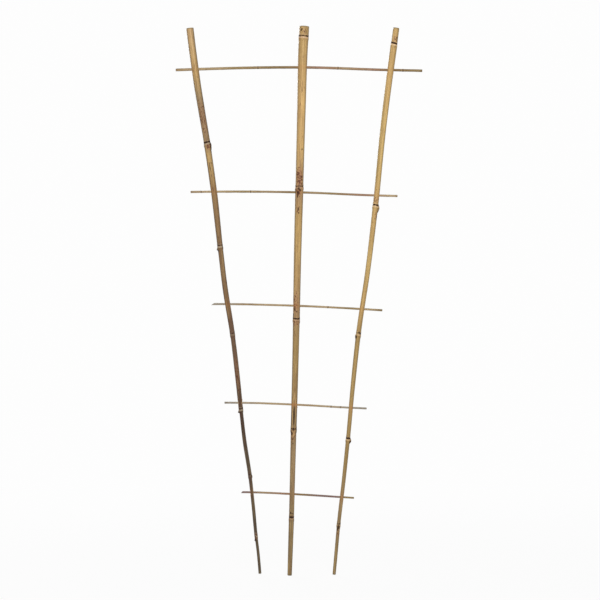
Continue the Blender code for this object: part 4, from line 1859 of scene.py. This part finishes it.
@dataclass(frozen=True)
class Studio:
    """Plain pale floor, white background, soft lights and the camera."""

    camera_distance: float = 2.7323
    camera_across: float = 0.0016
    camera_height: float = 0.4515
    lens: float = 100.0
    sensor: float = 36.0
    floor_size: float = 14.0
    floor_grey: float = 0.86
    floor_white: float = 0.94  # share of the floor's look, to the camera, that is plain white
    shadow_reach: tuple[float, float] = (0.2, 1.4)  # distances over which the floor turns all white
    white: float = 0.985  # how bright the background looks
    world_strength: float = 0.16
    lamp_power: float = 74.5  # watts, of each lamp
    lamps: tuple[Lamp, ...] = (Lamp("key", (0.1, -2.8, 1.9), 1.1), Lamp("back", (-1.2, 2.4, 1.9), 1.8))
    aim_height: float = 0.45

    def build_camera(self) -> None:
        """A level camera that looks along +Y at the middle of the trellis."""
        data = bpy.data.cameras.new("camera")
        data.lens, data.sensor_width = self.lens, self.sensor
        camera = new_object("camera", data)
        camera.location = (self.camera_across, -self.camera_distance, self.camera_height)
        camera.rotation_euler = (math.pi / 2, 0.0, 0.0)
        bpy.context.scene.camera = camera

    def build_lamps(self) -> None:
        """A broad soft key from the front, a little to the right and above, and a broader lamp behind."""
        for lamp in self.lamps:
            data = bpy.data.lights.new(lamp.name, "AREA")
            data.shape, data.size, data.energy = "SQUARE", lamp.size, self.lamp_power
            light = new_object(lamp.name, data)
            across, away, up = np.array([0.0, 0.0, self.aim_height]) - lamp.place
            tilt = math.atan2(math.hypot(across, away), -up)
            light.location = lamp.place
            light.rotation_euler = (tilt, 0.0, math.atan2(across, -away) + math.pi)

    def seen(self, shader: Shader) -> Signal:
        """Tells the rays that see the background, straight, mirrored or through glass, from those that light.

        Args:
            shader: the tree it is used in.

        Returns:
            1 for rays that see it and 0 for the others.
        """
        rays = shader.node("LightPath").outputs
        names = ("Is Camera Ray", "Is Glossy Ray", "Is Transmission Ray")
        camera, mirrored, through = (Signal(shader, rays[name]) for name in names)
        return camera.most(mirrored).most(through)

    def build_world(self) -> None:
        """Grey light from all round, which looks white to the camera and in reflections."""
        shader = Shader(bpy.data.worlds.new("studio"))
        strength = self.world_strength + self.seen(shader) * (self.white - self.world_strength)
        background = shader.node("Background", None, {"Color": WHITE, "Strength": strength})
        shader.node("OutputWorld", None, {"Surface": background.outputs[0]})
        bpy.context.scene.world = shader.owner

    def build_floor(self) -> None:
        """A plain pale floor that looks nearly white to the camera and keeps a faint shadow."""
        half = self.floor_size / 2
        mesh = bpy.data.meshes.new("floor")
        corners = [(-half, -half, 0.0), (half, -half, 0.0), (half, half, 0.0), (-half, half, 0.0)]
        mesh.from_pydata(corners, [], [(0, 1, 2, 3)])
        floor = new_object("floor", mesh)
        shader = Shader(bpy.data.materials.new("floor"))
        grey = (self.floor_grey, self.floor_grey, self.floor_grey, 1.0)
        diffuse = shader.node("BsdfDiffuse", None, {"Color": grey})
        glow = shader.node("Emission", None, {"Color": WHITE, "Strength": self.white})
        place = shader.node("TexCoord").outputs["Object"]
        length = shader.node("VectorMath", {"operation": "LENGTH"}, {0: place})
        far = Signal(shader, length.outputs["Value"]).rise(*self.shadow_reach)
        share = self.seen(shader) * (self.floor_white + far * (1.0 - self.floor_white))
        both = shader.node("MixShader", None, {0: share, 1: diffuse.outputs[0], 2: glow.outputs[0]})
        shader.node("OutputMaterial", None, {"Surface": both.outputs[0]})
        mesh.materials.append(shader.owner)

    def build(self) -> None:
        """Sets up everything round the trellis, and plain colour management."""
        bpy.context.scene.view_settings.view_transform = "Standard"
        self.build_camera()
        self.build_lamps()
        self.build_world()
        self.build_floor()


CUT_WOOD = CutWood("cut_wood", ground=tone(196, 164, 118), bundle=tone(150, 112, 72), dirt=tone(98, 72, 48))

UMBER = tone(69, 53, 41)
PRUNE = tone(78, 61, 52)
BARK = tone(82, 71, 55)
WALNUT = tone(108, 83, 63)
SMOKE = tone(130, 105, 77)
HAZEL = tone(127, 99, 68)
OCHRE = tone(145, 115, 76)
ASH = tone(130, 109, 76)
WEATHERED = tone(148, 124, 90)
DUSTY = tone(162, 130, 94)
HONEY = tone(150, 122, 80)
KHAKI = tone(163, 135, 86)
SAND = tone(185, 152, 98)
CREAM = tone(190, 157, 111)
PRIMROSE = tone(195, 164, 105)
STRAW = tone(200, 164, 108)
BLOND = tone(210, 172, 112)

DARK_SKIN = CaneSkin(
    tones=(
        (0.01, BARK), (0.13, BARK), (0.155, PRUNE), (0.18, BARK), (0.225, UMBER), (0.3, UMBER),
        (0.345, WALNUT), (0.41, WALNUT), (0.45, HAZEL), (0.54, HAZEL), (0.64, OCHRE), (0.683, SAND),
        (0.722, WEATHERED), (0.75, SMOKE), (0.783, WEATHERED), (0.82, SAND), (0.87, CREAM),
    ),
    stain=tone(88, 58, 46),
    # colour of the painted shade on the left and right flanks
    side=tone(102, 88, 68),
    straw=tone(180, 152, 104),
    wax=tone(172, 156, 130),
    bud=tone(84, 62, 48),
    stump=tone(126, 120, 102),
    stain_share=0.5,
    speck_share=0.8,
    offset=0.0,
)

GOLDEN_SKIN = CaneSkin(
    tones=(
        (0.02, ASH), (0.09, ASH), (0.15, WEATHERED), (0.215, WEATHERED), (0.238, ASH), (0.27, ASH),
        (0.3, HONEY), (0.325, HONEY), (0.385, KHAKI), (0.43, DUSTY), (0.53, SAND), (0.59, SAND),
        (0.63, DUSTY), (0.7, STRAW), (0.74, STRAW), (0.765, BLOND), (0.8, STRAW), (0.89, SAND),
    ),
    stain=tone(112, 74, 46),
    # colour of the painted shade on the left and right flanks
    side=tone(134, 114, 82),
    stain_share=0.3,
    speck_share=0.7,
    # lighter painted shade round its buds
    outline=0.3,
    offset=20.0,
)

PALE_SKIN = CaneSkin(
    tones=(
        (0.02, ASH), (0.08, ASH), (0.125, WEATHERED), (0.185, KHAKI), (0.39, KHAKI), (0.45, SAND),
        (0.53, PRIMROSE), (0.57, SAND), (0.62, SAND), (0.66, PRIMROSE), (0.74, PRIMROSE), (0.79, SAND),
        (0.89, SAND),
    ),
    stain=tone(130, 98, 58),
    # colour of the painted shade on the left and right flanks
    side=tone(152, 132, 88),
    wax=tone(214, 182, 138),
    stain_share=0.1,
    speck_share=0.2,
    offset=40.0,
)

LEFT_CANE = Cane(
    "left_cane",
    top=(-0.179, 0.897),
    foot=(-0.064, 0.003),
    sections=section_table(
        drop=(0.0, 0.187, 0.356, 0.5, 0.6235, 0.7315, 0.83),
        upper=(0.0122, 0.0108, 0.0086, 0.0075, 0.0059, 0.0059, 0.0048),
        lower=(0.0105, 0.0089, 0.0082, 0.0072, 0.0062, 0.0054, 0.0047),
        bore=(0.0044, 0.004, 0.0034, 0.003, 0.0022, 0.0019, 0.0016),
        swell=(0.0003, 0.0004, 0.0004, 0.0006, 0.0004, 0.0, 0.0),
        shift=(0.0, 0.004, 0.0037, 0.0053, 0.0034, 0.0042, 0.0016),
        back=(0.0, 0.001, -0.0006, 0.0009, -0.0004, 0.0007, 0.0),
        bow=(-0.00145, 0.0013, -0.0014, 0.0005, -0.0011, 0.0004, 0.0005),
        ridge=(0.0, 0.0006, 0.0005, 0.0004, 0.0004, 0.0003, 0.0003),
        tilt=(0.0, 0.0009, -0.0003, 0.0004, 0.0004, 0.0, 0.0),
        ink=(0.6, 1.2, 0.35, 0.2, 0.3, 0.4, 0.3),
        wax=(0.5, 0.7, 0.8, 0.3, 0.7, 0.1, 0.7),
        growths={
            1: Growth(GrowthKind.BUD, side=78, drop=0.0075, width=0.0022, proud=0.0011, length=0.008),
            2: Growth(GrowthKind.STUMP, side=-76, drop=0.008, width=0.0024, proud=0.0021, lean=24),
            3: Growth(GrowthKind.BUD, side=62, drop=0.008, width=0.0014, proud=0.0006, length=0.0034),
            4: Growth(GrowthKind.STUMP, side=-74, drop=0.0066, width=0.002, proud=0.0024, lean=26),
            5: Growth(GrowthKind.BUD, side=80, drop=0.0036, width=0.0013, proud=0.0006, length=0.004),
            6: Growth(GrowthKind.STUMP, side=-72, drop=0.0102, width=0.0014, proud=0.0013, lean=14),
        },
    ),
    finish=DARK_SKIN,
    cut_finish=CUT_WOOD,
    seed=100,
    bruises=(0.15, 0.2, 0.3, 0.0, 0.0),
    marks=(
        Mark(0.7045, 60, 0.007, 0.0012, 1.2), Mark(0.696, 64, 0.0045, 0.0016, 1.2),
        Mark(0.6755, 20, 0.0012, 0.001, 0.9), Mark(0.67, -10, 0.01, 0.0008, 0.8),
        Mark(0.5412, -60, 0.0012, 0.0022), Mark(0.537, 66, 0.004, 0.0012, 1.1),
        Mark(0.5325, -62, 0.0022, 0.002, 1.1), Mark(0.3962, 10, 0.0012, 0.0012, 0.8),
        Mark(0.385, 60, 0.0022, 0.0013, 1.1), Mark(0.2735, 50, 0.002, 0.001),
        Mark(0.2665, -50, 0.0016, 0.0016), Mark(0.064, -20, 0.0016, 0.0012),
        Mark(0.0585, -32, 0.0028, 0.0014, 1.2),
    ),
    stains=(
        Mark(0.703, 15, 0.0062, 0.004, 1.05), Mark(0.748, 0, 0.03, 0.008, 0.6),
        Mark(0.33, 0, 0.03, 0.006, 0.6), Mark(0.064, 0, 0.006, 0.004, 0.8),
    ),
    splinters=(Splinter(rung=4, side=70, rise=0.0024, length=0.004, curl=0.0016),),
)

MIDDLE_CANE = Cane(
    "middle_cane",
    top=(0.0086, 0.9),
    foot=(-0.0154, 0.0001),
    sections=section_table(
        drop=(0.0, 0.0165, 0.2625, 0.479, 0.659, 0.8045),
        upper=(0.0161, 0.0162, 0.0135, 0.0112, 0.0093, 0.0087),
        lower=(0.0164, 0.0129, 0.0114, 0.0097, 0.0083, 0.0073),
        bore=(0.0064, 0.006, 0.0052, 0.0044, 0.0036, 0.003),
        swell=(0.0, -0.0003, -0.0002, 0.0, 0.0, 0.0),
        shift=(0.0, -0.0006, -0.001, -0.0002, 0.0002, 0.0005),
        back=(0.0, 0.0, -0.0008, 0.0006, -0.0004, 0.0004),
        bow=(0.0, -0.0003, -0.0004, 0.0002, 0.0, 0.0),
        ridge=(0.0, 0.0003, 0.0007, 0.0006, 0.0006, 0.0004),
        tilt=(0.0, -0.0002, 0.0004, -0.0004, 0.0003, 0.0004),
        ink=(0.6, 0.68, 0.5, 0.9, 0.45, 0.7),
        wax=(0.5, 0.9, 0.35, 0.4, 0.15, 0.3),
        growths={
            2: Growth(GrowthKind.BUD, side=-22, drop=0.0085, width=0.0034, proud=0.001, length=0.0095),
            4: Growth(GrowthKind.BUD, side=-50, drop=0.005, width=0.0028, proud=0.0006, length=0.006),
        },
    ),
    finish=GOLDEN_SKIN,
    cut_finish=CUT_WOOD,
    seed=200,
    bruises=(0.25, 0.3, 0.35, 0.8, 0.15),
    marks=(
        Mark(0.8935, -30, 0.0028, 0.0015, 1.1, lean=25), Mark(0.8915, 24, 0.0055, 0.0007, 0.8, lean=-19),
        Mark(0.698, 25, 0.0016, 0.0012, 0.9), Mark(0.638, -66, 0.0012, 0.0016, 1.2),
        Mark(0.6338, -5, 0.0022, 0.0018, 1.1), Mark(0.631, 14, 0.002, 0.0014),
        Mark(0.629, -62, 0.005, 0.001), Mark(0.627, -16, 0.0026, 0.0019, 1.1),
        Mark(0.6215, -22, 0.003, 0.0014), Mark(0.6, -8, 0.003, 0.0014, 0.9),
        Mark(0.594, 0, 0.0014, 0.0012, 0.8), Mark(0.4365, -32, 0.0034, 0.0014, 1.1),
        Mark(0.4325, 4, 0.0014, 0.0012), Mark(0.427, -58, 0.003, 0.001),
        Mark(0.24, -5, 0.0026, 0.0022, 1.2), Mark(0.2335, -38, 0.003, 0.0018, 1.2),
        Mark(0.2398, 52, 0.0018, 0.0014, 1.1), Mark(0.2248, -8, 0.0014, 0.001, 0.9),
        # The second mark here, a long thin dark line down the left flank, is painted shade.
        Mark(0.2165, -8, 0.0012, 0.001, 0.9), Mark(0.255, -58, 0.015, 0.0009, 0.9),
        Mark(0.103, -25, 0.0022, 0.0011), Mark(0.1019, 0, 0.0006, 0.0036, 0.8),
        Mark(0.096, -4, 0.0022, 0.0042, 0.8),
    ),
    stains=(
        Mark(0.8905, 2, 0.0055, 0.005, 0.45), Mark(0.652, -4, 0.017, 0.0058, 1.12),
        Mark(0.629, -14, 0.0095, 0.0042, 1.0), Mark(0.599, -8, 0.006, 0.003, 0.7),
        Mark(0.448, -15, 0.018, 0.005, 0.75), Mark(0.4145, 0, 0.006, 0.007, 0.8),
        Mark(0.23, -15, 0.01, 0.0055, 0.85),
    ),
    split=Split(rung=4),
    splinters=(Splinter(rung=4, side=72, rise=-0.0022, length=0.0035, curl=0.0014),),
)

RIGHT_CANE = Cane(
    "right_cane",
    top=(0.1594, 0.8975),
    foot=(0.0575, 0.0015),
    sections=section_table(
        drop=(0.0, 0.0255, 0.2905, 0.5005, 0.6725, 0.8125),
        upper=(0.0102, 0.0115, 0.0095, 0.0082, 0.0069, 0.0057),
        lower=(0.0106, 0.0091, 0.0081, 0.0067, 0.006, 0.0052),
        bore=(0.0042, 0.0042, 0.0036, 0.0032, 0.0026, 0.002),
        swell=(0.0, -0.0003, -0.0004, 0.0, 0.0, 0.0002),
        shift=(0.0, -0.0006, -0.0009, -0.0049, -0.0025, -0.0019),
        back=(0.0, 0.0004, -0.0011, 0.0008, -0.0004, 0.0006),
        bow=(0.0, -0.0019, 0.0015, -0.0007, 0.0004, 0.0),
        ridge=(0.0, 0.0003, 0.0006, 0.0005, 0.0006, 0.0006),
        tilt=(0.0, -0.0006, -0.0006, -0.0004, 0.0, 0.0),
        ink=(0.6, 1.0, 0.4, 0.2, 1.1, 0.3),
        wax=(0.5, 1.1, 1.0, 0.6, 0.7, 0.4),
        growths={
            1: Growth(GrowthKind.BUD, side=18, drop=0.006, width=0.0018, proud=0.0004, length=0.0042),
            2: Growth(GrowthKind.BUD, side=74, drop=0.0056, width=0.0027, proud=0.0018, length=0.0072),
            3: Growth(GrowthKind.BUD, side=-58, drop=0.0062, width=0.0024, proud=0.0012, length=0.0064),
            4: Growth(GrowthKind.BUD, side=68, drop=0.004, width=0.0021, proud=0.0018, length=0.005),
            5: Growth(GrowthKind.BUD, side=-8, drop=0.0055, width=0.0014, proud=0.0005, length=0.0034),
        },
    ),
    finish=PALE_SKIN,
    cut_finish=CUT_WOOD,
    seed=300,
    bruises=(0.1, 0.15, 0.25, 0.55, 0.45),
    marks=(
        Mark(0.8812, 35, 0.0022, 0.0012, 0.9), Mark(0.856, -70, 0.003, 0.0008, 0.8),
        Mark(0.6074, -30, 0.0014, 0.0022, 1.3), Mark(0.6068, 32, 0.0015, 0.002, 1.3),
        # These two, on the right side and lower tip of the bud under the scar at 0.607, are painted shade.
        Mark(0.598, 72, 0.0058, 0.0012, 1.1), Mark(0.5925, 62, 0.0016, 0.0012),
        Mark(0.3985, 8, 0.0012, 0.0015, 1.2), Mark(0.397, 45, 0.0014, 0.0016, 1.3),
        Mark(0.3905, -42, 0.0022, 0.0014, 1.2), Mark(0.2195, 58, 0.0026, 0.0012, 1.2),
        Mark(0.0795, -4, 0.0033, 0.002, 1.3), Mark(0.0855, 36, 0.0014, 0.0011, 1.1),
        Mark(0.0752, -28, 0.0018, 0.0011, 1.1),
    ),
    stains=(
        Mark(0.879, 10, 0.007, 0.006, 0.65), Mark(0.615, 0, 0.006, 0.005, 0.72),
        Mark(0.59, 35, 0.0075, 0.0045, 0.6), Mark(0.072, 0, 0.009, 0.003, 0.6),
    ),
    splinters=(Splinter(rung=1, side=85, rise=0.0025, length=0.0022, curl=0.001, count=2),),
)

CANES = (LEFT_CANE, MIDDLE_CANE, RIGHT_CANE)

PALE_TAN = tone(171, 149, 114)
TAN = tone(155, 132, 99)
OLIVE = tone(141, 120, 82)
DARK_OLIVE = tone(128, 104, 67)
REDDISH = tone(148, 114, 91)
GREY = tone(150, 140, 124)
PLUM = tone(126, 101, 94)

RUNG_TONES = (
    (
        (0.03, TAN), (0.11, PALE_TAN), (0.27, OLIVE), (0.46, DARK_OLIVE), (0.6, REDDISH),
        (0.7, TAN), (0.78, REDDISH), (0.92, DARK_OLIVE), (1.0, OLIVE),
    ),
    (
        (0.02, TAN), (0.12, PALE_TAN), (0.28, OLIVE), (0.38, TAN), (0.51, DARK_OLIVE),
        (0.59, TAN), (0.68, OLIVE), (0.84, REDDISH), (0.95, PALE_TAN),
    ),
    (
        (0.04, GREY), (0.2, TAN), (0.38, PALE_TAN), (0.5, TAN), (0.66, PALE_TAN),
        (0.79, OLIVE), (0.93, PALE_TAN), (1.0, OLIVE),
    ),
    ((0.04, GREY), (0.3, PALE_TAN), (0.44, PALE_TAN), (0.58, TAN), (0.67, PALE_TAN), (0.9, GREY)),
    (
        (0.06, PLUM), (0.2, TAN), (0.36, REDDISH), (0.53, DARK_OLIVE), (0.7, PLUM),
        (0.84, PLUM), (0.95, OLIVE),
    ),
)
RUNG_OFFSETS = (60.0, 70.0, 80.0, 90.0, 95.0)
RUNG_SKINS = tuple(RungSkin(tones, offset) for tones, offset in zip(RUNG_TONES, RUNG_OFFSETS))

LEFT_ENDS = (
    RungEnd(overhang=0.0318, rise=-0.003, fall=0.0011, diameter=0.0047),
    RungEnd(overhang=0.0384, rise=0.0012, fall=0.0005, diameter=0.0038),
    RungEnd(overhang=0.0271, rise=0.0027, fall=-0.0001, diameter=0.0035, slant=55),
    RungEnd(overhang=0.0257, rise=0.003, fall=-0.0001, diameter=0.0035),
    RungEnd(overhang=0.018, rise=0.0028, fall=-0.0003, diameter=0.0033, slant=42),
)
RIGHT_ENDS = (
    RungEnd(overhang=0.052, rise=-0.0043, fall=0.0011, diameter=0.0042),
    RungEnd(overhang=0.0342, rise=-0.0051, fall=0.0009, diameter=0.0038),
    RungEnd(overhang=0.0334, rise=-0.0054, fall=0.002, diameter=0.0035),
    RungEnd(overhang=0.0258, rise=-0.0051, fall=0.0012, diameter=0.0032),
    RungEnd(overhang=0.02, rise=-0.0051, fall=0.0013, diameter=0.0033),
)
RUNG_KNOTS = ((0.1347, 0.2658, 0.3724), (0.0175, 0.0986), (0.1917,), (0.1746, 0.1903), ())


@dataclass(frozen=True)
class Trellis:
    """The whole trellis: where its rungs are, and the pieces in the order they are made."""

    top_rung: float = 0.8328
    bottom_rung: float = 0.1334
    gap_growth: float = 1.12  # each gap between rungs over the gap under it
    wander: tuple[float, ...] = (0.0, 0.0007, -0.0016, 0.0003, 0.0)
    first_seed: int = 400
    seed_step: int = 10

    def rung_heights(self) -> list[float]:
        """Heights at which the rungs cross the middle cane: from gap to gap in even proportion.

        Returns:
            The heights, from the top down.
        """
        gaps = self.gap_growth ** np.arange(len(self.wander) - 1)
        climbs = np.concatenate([[0.0], np.cumsum(gaps)]) / gaps.sum()
        heights = self.bottom_rung + (self.top_rung - self.bottom_rung) * climbs[::-1] + self.wander
        return heights.tolist()

    def rungs(self) -> list[Rung]:
        """Lays out the rungs in the canes.

        Returns:
            The five rungs, from the top down.
        """
        rows = zip(self.rung_heights(), LEFT_ENDS, RIGHT_ENDS, RUNG_KNOTS, RUNG_SKINS)
        return [
            Rung(f"rung_{number}", CANES, *row, CUT_WOOD, self.first_seed + self.seed_step * number)
            for number, row in enumerate(rows, 1)
        ]

    def build(self) -> None:
        """Makes and dresses every piece, canes first, and reports each one."""
        rungs = self.rungs()
        for cane in CANES:
            cane.lay_out_holes(rungs)
        for stem in (*CANES, *rungs):
            piece = stem.build()
            stem.dress(piece)
            log.info("%s: %d faces", piece.name, len(piece.data.polygons))


def main() -> None:
    """Builds the studio and the trellis."""
    logging.basicConfig(level=logging.INFO, format="%(name)s: %(message)s")
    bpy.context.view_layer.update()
    Studio().build()
    Trellis().build()


if __name__ == "__main__":
    main()
